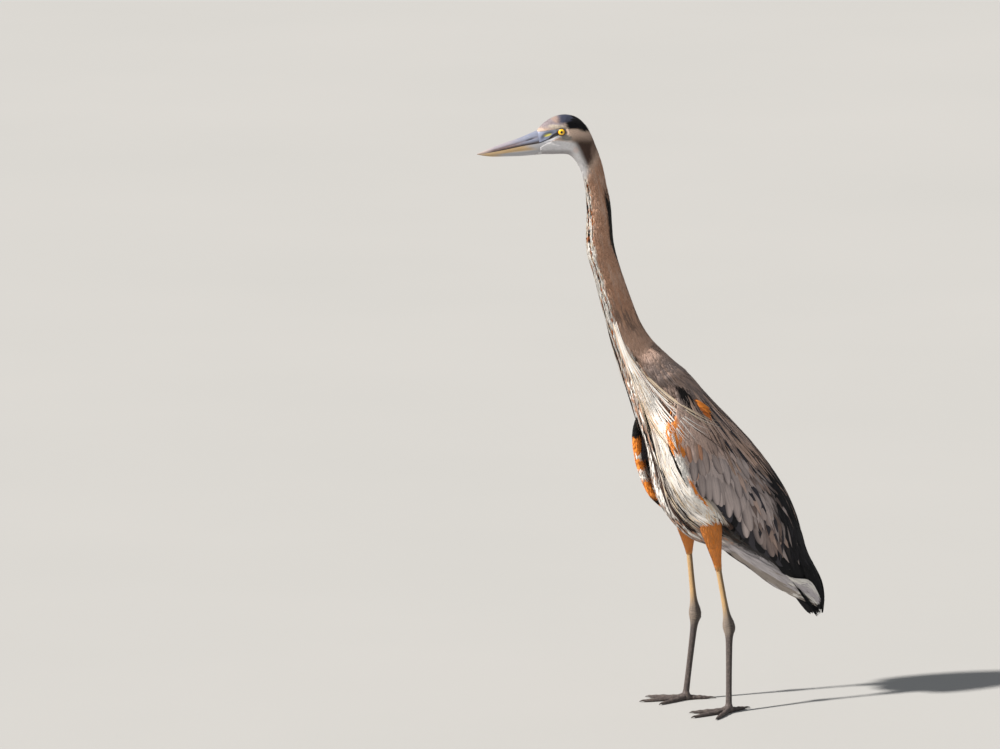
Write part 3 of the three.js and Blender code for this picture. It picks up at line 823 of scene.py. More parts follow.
def lore_share(plain):
    """1 on the bare skin between the bill and the eye, and at the corner of the mouth."""
    x, z = plain[..., 0], plain[..., 2]
    # The feathers of the brow end on the upper line, and those of the cheek on the lower one.
    upper = lerp(1228.5, 1233.5, smooth(-x, -378, -340))
    lower = np.interp(x, [338, 352, 364, 374], [1215.0, 1207.5, 1201.5, 1195.0])
    inner = smooth(z, lower - 0.8, lower + 0.8) * fade(z, upper - 0.8, upper + 0.8)
    return inner * smooth(x, 332, 336)


def lore_tone(plain):
    x, z = plain[..., 0], plain[..., 2]
    mouth_line = np.interp(x, [334, 340, 347, 355, 374], [1225.5, 1223.0, 1218.6, 1213.0, 1205.6])
    thick = np.interp(x, [336, 346, 351, 356, 372], [5.0, 5.2, 3.6, 1.6, 1.3])
    return layers(
        flat(LORE_SLATE, x),
        # painted light: lighter towards the bill, to even out the shade that the lore gets beside the
        # feathers
        (LORE_FRONT_LIT, smooth(x, 350, 372)),
        (LORE_YELLOW, spot(x, z, (357.5, 1221.5), (8.5, 2.7), -16)),
        (LOWER_GREY, fade(z, mouth_line - 2.0, mouth_line - 0.5)),
        (LORE_BLACK, fade(np.abs(z - mouth_line), thick * 0.6, thick)),
    )


# Where the skin's rings lie along the body: from, to and how many, closest on the face.
BODY_RINGS = [(0, 2.2, 90), (2.25, 8.5, 110), (8.58, 17, 120), (17.1, 30, 90)]
body_rings = np.concatenate([np.linspace(*part) for part in BODY_RINGS])
body_along, body_around = np.meshgrid(body_rings, full_turn(88), indexing="ij")
body_around = body_around + 0.36 * np.sin(2 * body_around) * fade(body_along, 2.5, 5)  # finer on the face
body_points = spine.at(body_along, body_around, spine_depth(body_along))
body_plain = spine.plain(body_along, body_around, spine_depth(body_along))
body_tone = spine_tone(body_plain, body_along, body_around, streaks(body_along, body_around))
# painted shade: the skin under the trunk's plumage is darker still
body_tone = body_tone * lerp(0.95, 0.75, smooth(body_along, 14, 18))[..., None]
body_bare = lore_share(body_plain)
body_tone = lerp(body_tone, lore_tone(body_plain), body_bare[..., None])
body_scales = np.stack([body_plain[..., 0], body_plain[..., 2], 0.5 * body_bare], -1)
add_to_skin("skin", body_points, body_tone, body_scales)
print("body form:", body_points.shape[0] * body_points.shape[1], "points")

# %% Wing pads
# One cape-like shell lies under both folded wings, and a round roll carries the bend of each wing.
CAPE_ROWS = np.linspace(0.35, 12.4, 110)
CAPE_OUTER = np.interp(CAPE_ROWS, [0, 8, 11, 13], [7.0, 6.0, 3.6, 1.0])
CAPE_INNER = np.interp(CAPE_ROWS, [0, 6, 9, 11, 13], [16, 14, 10, 6.5, 1.6])
CAPE_SHARE = 0.93  # of the way round to the wing's edge
cape_turns = np.linspace(-1, 1, 91)
cape_edges = {side: np.interp(CAPE_ROWS, EDGE_ROWS, WING_EDGES[side]) * CAPE_SHARE for side in (LEFT, RIGHT)}
cape_around = np.where(cape_turns > 0, cape_edges[LEFT][:, None], cape_edges[RIGHT][:, None]) * cape_turns
cape_along = np.repeat(CAPE_ROWS[:, None], len(cape_turns), 1)
cape_outer = mantle.at(cape_along, cape_around, CAPE_OUTER[:, None])
cape_inner = mantle.at(cape_along, cape_around, CAPE_INNER[:, None])[:, ::-1]
cape_points = np.concatenate([cape_outer, cape_inner], 1)
cape_dice = np.full(cape_points.shape[:2], PLAIN_DICE)
cape_tone = wing_tone(*np.moveaxis(cape_points, -1, 0), cape_dice) * CAPE_SHADE
# painted shade on the cape's inner side, which faces the body
cape_tone[:, len(cape_turns) :] *= CAPE_INNER_SHADE
add_to_skin("cape", cape_points, cape_tone, np.zeros(3), strip_caps=True)


def find_on(surface, x, z, side, steps=5):
    """Where a surface shows at a point of the bird's side: the places along and around."""
    rows, turns = np.linspace(0.02, surface.last - 0.02, 160), np.linspace(0.05, 3.0, 90)
    rows, turns = np.meshgrid(rows, turns, indexing="ij")
    near = surface.plain(rows, turns * side)
    x, z = np.atleast_1d(np.asarray(x, float)), np.atleast_1d(np.asarray(z, float))
    gap = (near[..., 0].ravel()[None] - x[:, None]) ** 2 + (near[..., 2].ravel()[None] - z[:, None]) ** 2
    best = gap.argmin(1)
    along, around = rows.ravel()[best], turns.ravel()[best] * side
    for _ in range(steps):
        here = surface.plain(along, around)
        da = (surface.plain(along + SMALL, around) - here) / SMALL
        db = (surface.plain(along, around + SMALL) - here) / SMALL
        det = da[:, 0] * db[:, 2] - da[:, 2] * db[:, 0]
        det = np.where(np.abs(det) < 1e-3, 1e-3, det)
        ex, ez = x - here[:, 0], z - here[:, 2]
        along = np.clip(along + np.clip((ex * db[:, 2] - ez * db[:, 0]) / det, -0.5, 0.5), 0, surface.last)
        around = around + np.clip((ez * da[:, 0] - ex * da[:, 2]) / det, -0.2, 0.2)
    return along, around


BEND_RADII = [3.0, 6.0, 8.0, 8.5, 8.5, 8.0, 7.5, 7.0, 6.0, 5.0]
BEND_RISE = [-10.0, -6.0, -0.5, 1.5, 1.5, 1.5, 1.5, 1.0, 0.5, 0.0]  # how far the roll stands out of the wing


def bend_form(side):
    """The roll along the front edge of a wing."""
    corners = np.array(WING_BENDS[side], float)
    way = unit(np.gradient(corners, axis=0))
    inward = np.stack([way[:, 1], -way[:, 0]], -1)  # from the edge into the wing
    radii = np.array(BEND_RADII)
    middle = corners + inward * (radii + 0.5)[:, None]
    along, around = find_on(mantle, middle[:, 0], middle[:, 1], side)
    out = mantle.at(along, around)[:, 1]
    outer = [y - side * (r - rise) for y, r, rise in zip(out, radii, BEND_RISE)]
    return Limb([(m[0], y, m[1], r, r) for m, y, r in zip(middle, outer, radii)])


bends = {side: bend_form(side) for side in (LEFT, RIGHT)}
for side, form in bends.items():
    points, rows, turns = grid(form, np.linspace(0, form.last, 60), full_turn(20), 3.0)
    add_to_skin(f"bend_{SIDE_NAMES[side]}", points, np.array(CHESTNUT) * BEND_SKIN_SHADE, np.zeros(3))
print("wing pads: cape and", len(bends), "bends")

# %% Thighs and bare legs
for side, form in thighs.items():
    points, rows, turns = grid(form, np.linspace(0, form.last, 50), full_turn(36), THIGH_DEPTH)
    add_to_skin(f"thigh_form_{SIDE_NAMES[side]}", points, np.array(THIGH_RUFOUS) * THIGH_SKIN_SHADE, np.zeros(3))


def wrinkles(along, around, pitch):
    """Folds that run mostly round a leg."""
    wave = np.sin(along * 2 * np.pi / pitch + 1.6 * np.sin(around * 2 + along * 0.3))
    return wave * np.sin(along * 2.9 + 2.0 * np.cos(around * 3)) * 0.5 + 0.5 * wave


def plates(along, around, pitch, count):
    """How deep the grooves between staggered scales are: 1 in a groove, 0 on a scale."""
    row = along / pitch
    column = around / (2 * np.pi) * count + 0.5 * (np.floor(row) % 2)
    from_row = np.abs(row - np.round(row)) * pitch
    from_column = np.abs(column - np.round(column)) * pitch
    return fade(np.minimum(from_row, from_column), 0.15, 0.75)


def leg_relief(along, around, ankle):
    """The scales of the leg in millimetres: broad plates down the tarsus's front, small ones elsewhere."""
    front = smooth(-np.sin(around), 0.35, 0.6)
    below = smooth(along, ankle + 12, ankle + 22)
    knob = spot(along, 0 * along, (ankle - 4, 0), (20, 1))
    broad = fade(np.abs(along / 5.4 - np.round(along / 5.4)) * 5.4, 0.2, 0.9) * 0.42
    small = plates(along, around, 2.7, 12) * 0.22
    relief = -lerp(small, broad, front * below)
    return relief + knob * 0.55 * wrinkles(along, around, 5.2)


LEG_STEP = 0.95
ANKLE_ROW = len(SHANK) - 1
for side, form in legs.items():
    fine = np.linspace(0, form.last, 1200)
    line = through(form.rows, fine)[:, :3]
    travelled = np.concatenate([[0], np.cumsum(np.linalg.norm(np.diff(line, axis=0), axis=1))])
    reach = np.arange(0, travelled[-1], LEG_STEP)
    rows = np.interp(reach, travelled, fine)
    ankle = np.interp(ANKLE_ROW, fine, travelled)
    shape_along, shape_around = np.meshgrid(reach, full_turn(52), indexing="ij")
    relief = leg_relief(shape_along, shape_around, ankle)
    points = form.at(np.repeat(rows[:, None], 52, 1), shape_around, -relief)
    lower = smooth(shape_along, ankle - 62, ankle - 16)[..., None]
    tone = lerp(np.array(BARE_TAN), np.array(BARE_GREY), lower)
    tone = lerp(tone, np.array(TARSUS_BROWN), smooth(shape_along, ankle + 2, ankle + 26)[..., None])
    # painted shade down the rear of each leg, the side turned from the light
    rear = smooth(np.sin(shape_around), -0.35, 0.1)[..., None] * (0.55 + 0.2 * lower)
    tone = lerp(tone, np.array(TARSUS_BROWN) * 0.45, rear)
    # painted shade in the grooves between the scales
    tone = tone * (1 - 0.45 * np.clip(-relief, 0, 1))[..., None]
    scales = np.stack([shape_along, shape_around * 6.0, np.ones_like(shape_along)], -1)
    add_to_skin(f"leg_form_{SIDE_NAMES[side]}", points, tone, scales)
    print("leg:", SIDE_NAMES[side], len(reach), "rings, ankle at", round(float(ankle)), "mm")

# %% Feet
# Four toes spread from one knuckle, with pads under the joints. They are pressed flat where they stand.
# TOE_SHAPE holds shares of a toe's length, with the height of its middle and half its depth.
TOE_SHAPE = [(0.0, 10.5, 6.6), (0.06, 8.8, 6.5), (0.16, 5.9, 5.9), (0.26, 4.8, 5.2), (0.34, 4.3, 5.8)]
TOE_SHAPE += [(0.42, 4.0, 4.9), (0.5, 3.8, 4.7), (0.56, 3.8, 4.9), (0.62, 3.8, 5.2), (0.7, 3.5, 4.4)]
TOE_SHAPE += [(0.76, 3.3, 4.1), (0.82, 3.2, 4.4), (0.89, 3.0, 3.7), (0.95, 2.8, 3.3), (0.985, 2.8, 2.9)]
HUB_SHAPE = [(20, 5.9, 6.4), (16, 7.0, 7.6), (11, 8.6, 9.2), (6, 8.8, 9.4), (2, 7.6, 8.2), (0, 6.6, 7.2)]
TOE_SIDES = 36


def toe_heading(side, leg, angle):
    heading = np.radians(side * (leg["toe_out"] - angle))
    return np.array([np.cos(heading), np.sin(heading), 0.0])


for side, leg in LEGS.items():
    foot = np.array(leg["foot"], float)
    hub = Limb([(foot[0], foot[1] + 0.01 * z, z, wide, deep) for z, wide, deep in HUB_SHAPE])
    hub_points = hub.at(*np.meshgrid(np.linspace(0, hub.last, 26), full_turn(40), indexing="ij"))
    tone = np.array(TARSUS_BROWN)
    add_to_skin(f"hub_{SIDE_NAMES[side]}", hub_points, tone, (0, 0, 1))
    for name, (angle, length, claw) in TOES.items():
        forward = toe_heading(side, leg, angle)
        line = [(*(foot + forward * at * length)[:2], height, r * 0.98, r) for at, height, r in TOE_SHAPE]
        toe = Limb(line)
        reach = np.arange(0, toe.last, 0.11)
        rows, turns = np.meshgrid(reach, full_turn(TOE_SIDES), indexing="ij")
        shape_along = np.interp(rows, range(len(TOE_SHAPE)), [share * length for share, _, _ in TOE_SHAPE])
        above = smooth(-np.sin(turns), 0.1, 0.5)
        groove = fade(np.abs(shape_along / 3.6 - np.round(shape_along / 3.6)) * 3.6, 0.2, 0.8)
        relief = lerp(plates(shape_along, turns, 2.4, 10) * 0.18, groove * 0.36, above)
        points = toe.at(rows, turns, relief)
        points[..., 2] = np.maximum(points[..., 2], 0)
        # painted shade in the grooves between the scales
        tone = np.array(TARSUS_BROWN) * (1.05 - 0.5 * relief)[..., None]
        scales = np.stack([shape_along, turns * 5, np.ones_like(turns)], -1)
        add_to_skin(f"toe_{SIDE_NAMES[side]}_{name}", points, tone, scales)
print("feet:", len(skin_parts), "forms gathered for the skin")

# %% Eyelids and sockets
# A lid is a ring with a rounded lip that rests on the globe of the eye. The opening is drawn out a little
# towards the bill, as a bird's is. Radius and height round the lid's section.
LID_PROFILE = [(6.9, 4.3), (6.75, 5.15), (7.1, 5.7), (7.7, 5.4), (8.5, 4.2), (9.8, 2.7), (11.6, 1.2)]
LID_PROFILE += [(10.6, 0.4), (8.4, 0.2), (7.5, 2.2)]
LID_SIDES = 72
CORNEA_RADIUS = 6.4
LID_BLACK = paint(34, 31, 33)
EYE_LEAN = np.radians(-9)  # the eyes look a little forward


def eye_place(points, side):
    """Takes points from the eye's own place, with +Y looking out of the head, to the turned head."""
    x, y, z = np.moveaxis(np.asarray(points, float), -1, 0)
    y = y * side
    c, s = np.cos(side * EYE_LEAN), np.sin(side * EYE_LEAN)
    placed = np.stack([x * c - y * s + EYE["x"], x * s + y * c + side * EYE["y"], z + EYE["z"]], -1)
    return turn_head(placed)


def lid_section(stations):
    return through(LID_PROFILE + LID_PROFILE[:1], np.linspace(0, len(LID_PROFILE), stations + 1)[:-1])


def lid_points(side):
    turn = full_turn(LID_SIDES)
    profile = lid_section(40)
    radius, height = profile[None, :, 0], profile[None, :, 1]
    corner = 1 + 0.13 * np.exp(-((turn / 0.42) ** 2)) + 0.06 * np.exp(-(((np.abs(turn - np.pi)) / 0.4) ** 2))
    corner = np.maximum(corner, 1 + 0.13 * np.exp(-(((turn - 2 * np.pi) / 0.42) ** 2)))
    stretch = 1 + (corner[:, None] - 1) * smooth(12.5 - radius, 0.5, 4.0)
    lips = 1 - 0.05 * np.abs(np.sin(turn))[:, None] * smooth(9.5 - radius, 0, 2)
    x, z = radius * np.cos(turn)[:, None] * stretch, radius * np.sin(turn)[:, None] * lips
    return eye_place(np.stack([x, np.broadcast_to(height, x.shape), z], -1), side)


def lid_tones(stations):
    """Black along the lip and towards the bill, and grey behind it."""
    radius = lid_section(stations)[None, :, 0]
    turn = full_turn(LID_SIDES)[:, None]
    front = smooth(np.cos(turn + 0.25), 0.55, 0.8)
    black = np.maximum(fade(radius, 7.9, 8.8), front + 0 * radius)
    return over(flat(EYE_GREY, radius + turn), LID_BLACK, black)


def globe_points(across, deep, bulge=0.0, rings=40, sides=56):
    """A globe as a grid from its inner pole to its outer one, with a cornea that stands out by bulge."""
    lift = np.linspace(-np.pi / 2 + 0.02, np.pi / 2 - 0.02, rings)[:, None]
    turn = full_turn(sides)[None]
    radius = np.cos(lift) * across
    cornea = bulge * np.clip(1 - (radius / CORNEA_RADIUS) ** 2, 0, 1)
    height = np.sin(lift) * deep + np.where(np.sin(lift) > 0, cornea, 0)
    ring = [radius * np.cos(turn), np.broadcast_to(height, (rings, sides)), radius * np.sin(turn)]
    return np.stack(ring, -1)


def ring_form(name, points):
    """A closed ring, whose grid closes both ways."""
    rows, ring = points.shape[:2]
    index = np.arange(rows * ring).reshape(rows, ring)
    beside, ahead = np.roll(index, -1, axis=1), np.roll(index, -1, axis=0)
    both = np.roll(beside, -1, axis=0)
    faces = np.stack([index, beside, both, ahead], -1).reshape(-1, 4)
    if volume(points.reshape(-1, 3), [faces]) < 0:
        faces = faces[:, ::-1]
    return make_object(name, make_mesh(name, points.reshape(-1, 3), [faces]))


sockets = []
for side in (LEFT, RIGHT):
    points = lid_points(side)
    skin_parts.append(ring_form(f"lid_{SIDE_NAMES[side]}", points))
    skin_points.append(points.reshape(-1, 3))
    skin_tones.append(lid_tones(points.shape[1]).reshape(-1, 3))
    skin_scales.append(np.broadcast_to((0, 0, 0.5), points.shape).reshape(-1, 3))
    socket = eye_place(globe_points(EYE["across"] + 0.1, EYE["deep"] + 0.1), side)
    sockets.append(solid_form(f"socket_{SIDE_NAMES[side]}", socket))
print("lids and sockets:", len(sockets))


# %% Join the skin
def boolean(target, tool, operation):
    modifier = target.modifiers.new(tool.name, "BOOLEAN")
    modifier.solver = "MANIFOLD"
    modifier.operation = operation
    modifier.object = tool


def settle(thing):
    """Applies an object's modifiers to its mesh."""
    graph = bpy.context.evaluated_depsgraph_get()
    settled = bpy.data.meshes.new_from_object(thing.evaluated_get(graph))
    thing.modifiers.clear()
    thing.data = settled


skin = skin_parts[0]
for socket in sockets:
    boolean(skin, socket, "DIFFERENCE")
for part in skin_parts[1:]:
    boolean(skin, part, "UNION")
settle(skin)
for tool in skin_parts[1:] + sockets:
    bpy.data.objects.remove(tool)
sources = in_frame(np.vstack(skin_points))
tree = kdtree.KDTree(len(sources))
for i, place in enumerate(sources):
    tree.insert(place, i)
tree.balance()
nearest = np.array([tree.find(v.co)[1] for v in skin.data.vertices])


def attach(mesh, name, kind, values):
    """Stores a colour or three numbers at each point of a mesh, for its material to read."""
    attribute = mesh.attributes.new(name, kind, "POINT")
    field = "color" if kind == "FLOAT_COLOR" else "vector"
    values = np.asarray(values, np.float32)
    if kind == "FLOAT_COLOR":
        values = np.concatenate([values, np.ones((len(values), 1), np.float32)], 1)
    attribute.data.foreach_set(field, values.ravel())


attach(skin.data, "tone", "FLOAT_COLOR", np.vstack(skin_tones)[nearest])
attach(skin.data, "scale", "FLOAT_VECTOR", np.vstack(skin_scales)[nearest])
skin.data.shade_smooth()
skin.data.set_sharp_from_angle(angle=np.radians(48))


def skin_finish():
    """Feather tracts are soft and matt. Bare skin is leathery, with fine cells between its scales and painted
    shade in their creases.
    """
    f = Finish("heron skin")
    along, around, bare = f.numbers("scale")
    place = f.node("ShaderNodeCombineXYZ", None, {0: along, 1: around, 2: 0.0})
    cells = f.node("ShaderNodeTexVoronoi", {"feature": "DISTANCE_TO_EDGE"}, {"Vector": place, "Scale": 1.3})
    crease = 1 - cells.between(0.0, 0.16)
    mottle = f.noise(260.0, 4.0)
    scaly = bare.between(0.5, 1.0)  # the lore is bare too, but smooth
    worn = f.mix(mottle.between(0.45, 0.75) * scaly * 0.22, f.colour("tone"), paint(176, 160, 140))
    # painted shade in the creases between the scales
    crease_shade = f.mix(crease * scaly * 0.35, worn, paint(46, 38, 34))
    height = mottle * 0.5 - crease * (scaly * 0.85 + bare * 0.15)
    return f.set(
        Base_Color=crease_shade,
        Roughness=0.82 - bare.between(0.0, 0.5) * 0.36 + mottle * 0.08,
        Normal=f.bump(height, 0.0004, 0.7),
    )


skin.data.materials.clear()
skin.data.materials.append(skin_finish())
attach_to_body(skin, "root")
FLESH = ("head", "neck", "trunk", "tail", "wing", "thigh", "shank", "tarsus", "foot")
flesh = [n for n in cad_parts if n.split("_")[0] in FLESH]
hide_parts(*flesh)
print("skin:", len(skin.data.vertices), "points, stands for", len(flesh), "solids")

# %% [markdown]
# ## Bill, eyes and claws
# Horn and glass stay apart from the skin, because they catch the light in another way. The bill's halves
# are lofted from rings like a boat's frames: a rounded ridge, flat sides with the groove that runs forward
# from the nostril, and a sharp cutting edge. Lofting gives clean lengthwise lines, which a carved block
# would not.

# %% Bill
BILL_X = [356, 370, 392, 413, 444, 470, 488, 498, 503]
MEETING_Z = [1209.0, 1206.5, 1203, 1199.6, 1193.4, 1188.6, 1185.6, 1184.4, 1183.9]
CULMEN_Z = [1236.5, 1232.6, 1224.4, 1216, 1206, 1197.6, 1190.4, 1186.6, 1184.7]
KEEL_Z = [1181.5, 1180.6, 1178.9, 1177.9, 1177.9, 1178.3, 1180.4, 1182.6, 1183.7]
BILL_HALF = [7.0, 10.6, 9.9, 8.4, 6.4, 4.4, 2.4, 1.1, 0.35]
NOSTRIL_FROM, NOSTRIL_TO = 381.0, 405.0
UPPER_SLATE = paint(122, 128, 148)
UPPER_BROWN = paint(104, 84, 84)
UPPER_TIP = paint(176, 160, 152)
NOSTRIL_DARK = paint(24, 22, 24)
LOWER_TAN = paint(186, 156, 112)
EDGE_BROWN = paint(58, 44, 40)


class Horn:
    """One half of the bill. along counts rows from the base, around runs from left edge to right edge."""

    def __init__(self, lower):
        self.rows = np.stack([BILL_X, MEETING_Z, KEEL_Z if lower else CULMEN_Z, BILL_HALF], -1)
        self.last = len(BILL_X) - 1
        self.fullness = 0.8 if lower else 0.95
        self.width = 0.97 if lower else 1.0
        self.gap = -0.12 if lower else 0.12

    def at(self, along, around, depth=0.0):
        x, meeting, edge, half = np.moveaxis(through(self.rows, along), -1, 0)
        kept = 1 - depth / np.maximum(half, 2)
        flank = np.cos(around) * np.abs(np.cos(around)) ** 0.12
        y = flank * half * self.width * kept
        z = meeting + self.gap + (edge - meeting) * np.sin(around) ** self.fullness * kept
        return turn_head(np.stack([np.broadcast_to(x, y.shape), y, z], -1))


horns = {"upper": Horn(False), "lower": Horn(True)}


def bill_form(name, rows=170, sides=40):
    """One half of the bill as rings, with every point's place along, share of the height and grooves."""
    horn, lower = horns[name], name == "lower"
    place = np.linspace(0, horn.last, rows)[:, None]
    x = through(horn.rows, place[:, 0])[:, :1]
    angle = np.linspace(0.0, np.pi, sides)[None]
    rise = np.sin(angle) ** horn.fullness
    groove_at = lerp(0.50, 0.42, smooth(x, 380, 445))
    groove = np.exp(-(((rise - groove_at) / 0.055) ** 2)) * smooth(x, 372, 382) * fade(x, 436, 458)
    slit_share = smooth(x, NOSTRIL_FROM, NOSTRIL_FROM + 11) * fade(x, NOSTRIL_TO - 8, NOSTRIL_TO)
    slit = np.exp(-(((rise - groove_at) / 0.06) ** 4)) * slit_share
    if lower:
        groove = 0.5 * np.exp(-(((rise - 0.45) / 0.1) ** 2)) * smooth(x, 372, 390) * fade(x, 420, 450)
        slit = 0 * slit
    over_top = horn.at(place + 0 * angle, angle + 0 * place, 0.75 * groove + 0.8 * slit)
    share = np.linspace(0, 1, 10)[1:-1][None, :, None]
    inner = lerp(over_top[:, -1:], over_top[:, :1], share)  # straight across the mouth, and a little hollow
    inner[..., 2] += (-0.4 if lower else 0.8) * np.sin(share[..., 0] * np.pi) * smooth(-x, -480, -440)
    marks = [np.broadcast_to(m, (rows, sides)) for m in (x, rise, groove, slit)]
    marks = [np.concatenate([m, m[:, :1] + np.zeros((rows, 8))], 1) for m in marks]
    return np.concatenate([over_top, inner], 1), marks


def bill_tones(marks, lower):
    x, rise, groove, slit = marks
    if lower:
        pale = np.maximum(smooth(rise, 0.42, 0.6), fade(x - 40 * (1 - rise), 350, 380))
        return layers(
            flat(LOWER_TAN, x),
            (LOWER_GREY, pale * fade(x, 440, 475)),
            (UPPER_TIP, smooth(x, 478, 500) * 0.5),
            (EDGE_BROWN, 0.8 * fade(rise, 0.04, 0.14)),
        )
    low = fade(rise, 0.08, 0.26)
    return layers(
        flat(UPPER_SLATE, x),
        (UPPER_BROWN, smooth(x, 392, 440) * fade(rise, 0.35, 0.75)),
        # painted highlight: lilac along the upper part of the bill
        (LILAC, 0.7 * smooth(x, 400, 450) * smooth(rise, 0.3, 0.8)),
        (UPPER_TIP, 0.8 * smooth(x, 462, 496)),
        (UPPER_BROWN, 0.6 * groove),
        (EDGE_BROWN, 0.9 * low * fade(x, 462, 490) * smooth(x, 362, 378)),
        (NOSTRIL_DARK, slit),
    )


def horn_finish(name, roughness):
    """Polished horn: long faint growth streaks, fine pits and a thin clear shine."""
    f = Finish(name)
    streaks = f.noise(90.0, 4.0, stretch=(0.3, 2.5, 8.0))
    specks = f.noise(900.0, 2.0)
    worn = f.mix(streaks.between(0.42, 0.7) * 0.13, f.colour("tone"), paint(196, 186, 178))
    dull = f.mix(specks.between(0.66, 0.78) * 0.2, worn, paint(60, 52, 50))
    height = streaks * 0.6 + specks * 0.3
    return f.set(
        Base_Color=dull,
        Roughness=roughness + streaks * 0.15,
        Coat_Weight=0.25,
        Coat_Roughness=0.25,
        Normal=f.bump(height, 0.0003, 0.6),
    )


for name, lower in (("upper", False), ("lower", True)):
    points, marks = bill_form(name)
    half_bill = solid_form(f"bill_horn_{name}", points)
    tones = bill_tones(marks, lower).reshape(-1, 3)
    ends = np.stack([tones[0], tones[-1]])
    attach(half_bill.data, "tone", "FLOAT_COLOR", np.vstack([tones, ends]))
    half_bill.data.materials.append(horn_finish(f"{name} bill horn", 0.34 if lower else 0.3))
    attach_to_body(half_bill, "root")
    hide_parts(f"bill_{name}")
print("bill:", round(max(BILL_X) - 376), "mm of ridge beyond the feathers")

# %% [markdown]
# The eye is a globe with a cornea that bulges a little. The iris is painted on it by distance from the
# middle, with fine rays, and a clear coat gives the wet shine. A separate glass dome would look the same at
# this size.

# %% Eyes
PUPIL_RADIUS = 2.7
IRIS_RADIUS = 7.3
IRIS_YELLOW = paint(255, 206, 24)
IRIS_ORANGE = paint(236, 146, 20)
PUPIL_BLACK = paint(6, 6, 8)
LIMBUS_BROWN = paint(60, 40, 14)


def eye_finish():
    f = Finish("heron eye")
    radius, turn, _ = f.numbers("iris")
    ray_place = f.node("ShaderNodeCombineXYZ", None, {0: turn * 9.0, 1: radius * 0.35, 2: 0.0})
    rays = f.noise(1.0, 3.0, place=ray_place)
    ring = radius.between(PUPIL_RADIUS, IRIS_RADIUS)
    iris = f.mix(ring * 0.55 + rays * 0.5 - 0.15, IRIS_YELLOW, IRIS_ORANGE)
    rimmed = f.mix(radius.between(IRIS_RADIUS - 0.9, IRIS_RADIUS), iris, LIMBUS_BROWN)
    whole = f.mix(1 - radius.between(PUPIL_RADIUS - 0.2, PUPIL_RADIUS + 0.15), rimmed, PUPIL_BLACK)
    bump = f.bump(rays, 0.00005)
    return f.set(Base_Color=whole, Roughness=0.3, Coat_Weight=0.7, Coat_Roughness=0.02, Normal=bump)


eye_material = eye_finish()
for side in (LEFT, RIGHT):
    own = globe_points(EYE["across"], EYE["deep"] - 0.1, bulge=0.45, rings=48, sides=64)
    globe = solid_form(f"eyeball_{SIDE_NAMES[side]}", eye_place(own, side))
    radius = np.hypot(own[..., 0], own[..., 2])
    radius = np.where(own[..., 1] > 0, radius, 20.0)
    iris = np.stack([radius, np.arctan2(own[..., 2], own[..., 0]), 0 * radius], -1).reshape(-1, 3)
    attach(globe.data, "iris", "FLOAT_VECTOR", np.vstack([iris, [[20, 0, 0], [0, 0, 0]]]))
    globe.data.materials.append(eye_material)
    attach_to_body(globe, "root")
    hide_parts(f"eye_{SIDE_NAMES[side]}")
print("eyes:", 2 * IRIS_RADIUS, "mm of iris")

# %% Claws
# Shares of a claw's length, with the height of its middle and half its depth.
CLAW_SHAPE = [(-0.25, 2.8, 2.5), (0.0, 3.2, 2.6), (0.2, 3.6, 2.4), (0.45, 3.6, 2.0), (0.7, 2.9, 1.45)]
CLAW_SHAPE += [(0.88, 2.1, 0.9), (1.0, 1.4, 0.35)]
CLAW_HORN = paint(58, 50, 46)
claw_material = horn_finish("claw horn", 0.36)
for side, leg in LEGS.items():
    for name, (angle, length, claw_length) in TOES.items():
        forward = toe_heading(side, leg, angle)
        start = np.array(leg["foot"], float) + forward * (0.97 * length + 0.35)
        line = [(*(start + forward * t * claw_length)[:2], height, r * 0.8, r) for t, height, r in CLAW_SHAPE]
        form = Limb(line)
        rows, turns = np.meshgrid(np.linspace(0, form.last, 34), full_turn(24), indexing="ij")
        hollow = 0.22 * smooth(np.sin(turns), 0.75, 0.97)  # claws are hollowed underneath
        points = form.at(rows, turns, hollow * 1.2)
        points[..., 2] = np.maximum(points[..., 2], 0.05)
        claw = solid_form(f"claw_horn_{SIDE_NAMES[side]}_{name}", points)
        shade = np.array(CLAW_HORN) * lerp(1.25, 0.8, rows / form.last)[..., None]
        tones = shade.reshape(-1, 3)
        attach(claw.data, "tone", "FLOAT_COLOR", np.vstack([tones, tones[:1], tones[-1:]]))
        claw.data.materials.append(claw_material)
        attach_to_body(claw, "root")
        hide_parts(f"claw_{SIDE_NAMES[side]}_{name}")
print("claws:", 2 * len(TOES))

# %% [markdown]
# ## How a feather is laid
# Every feather is a thin closed vane: a strip with a raised middle over the shaft, and a slightly lower
# underside. Its root sits on the skin. From there it is led over the bird's own surface, step by step, in
# the way that the plumage flows at that place, rising from the root to the tip so that it covers the roots
# of the next row. Particle hair could do this too, but it leaves nothing solid behind. Building the vanes
# as arrays of numbers makes tens of thousands of them in seconds, and each one is a real mesh.

# %% Leading a feather over the surface
def frame_on(surface, along, around):
    """The point there, the two directions in which the surface runs, and the way out of it."""
    here = surface.at(along, around)
    da = (surface.at(along + SMALL, around) - surface.at(along - SMALL, around)) / (2 * SMALL)
    db = (surface.at(along, around + SMALL) - here) / SMALL
    out = unit(np.cross(db, da))
    inner = surface.at(along, around, 1.0)
    return here, da, db, out * np.where(dot(out, here - inner) < 0, -1, 1)


def shares_of(steps):
    """Where the stations of a feather lie: closer towards the tip, or further up where they are few."""
    return 1 - (1 - np.linspace(0, 1, steps)) ** (1.35 if steps > 4 else 0.8)


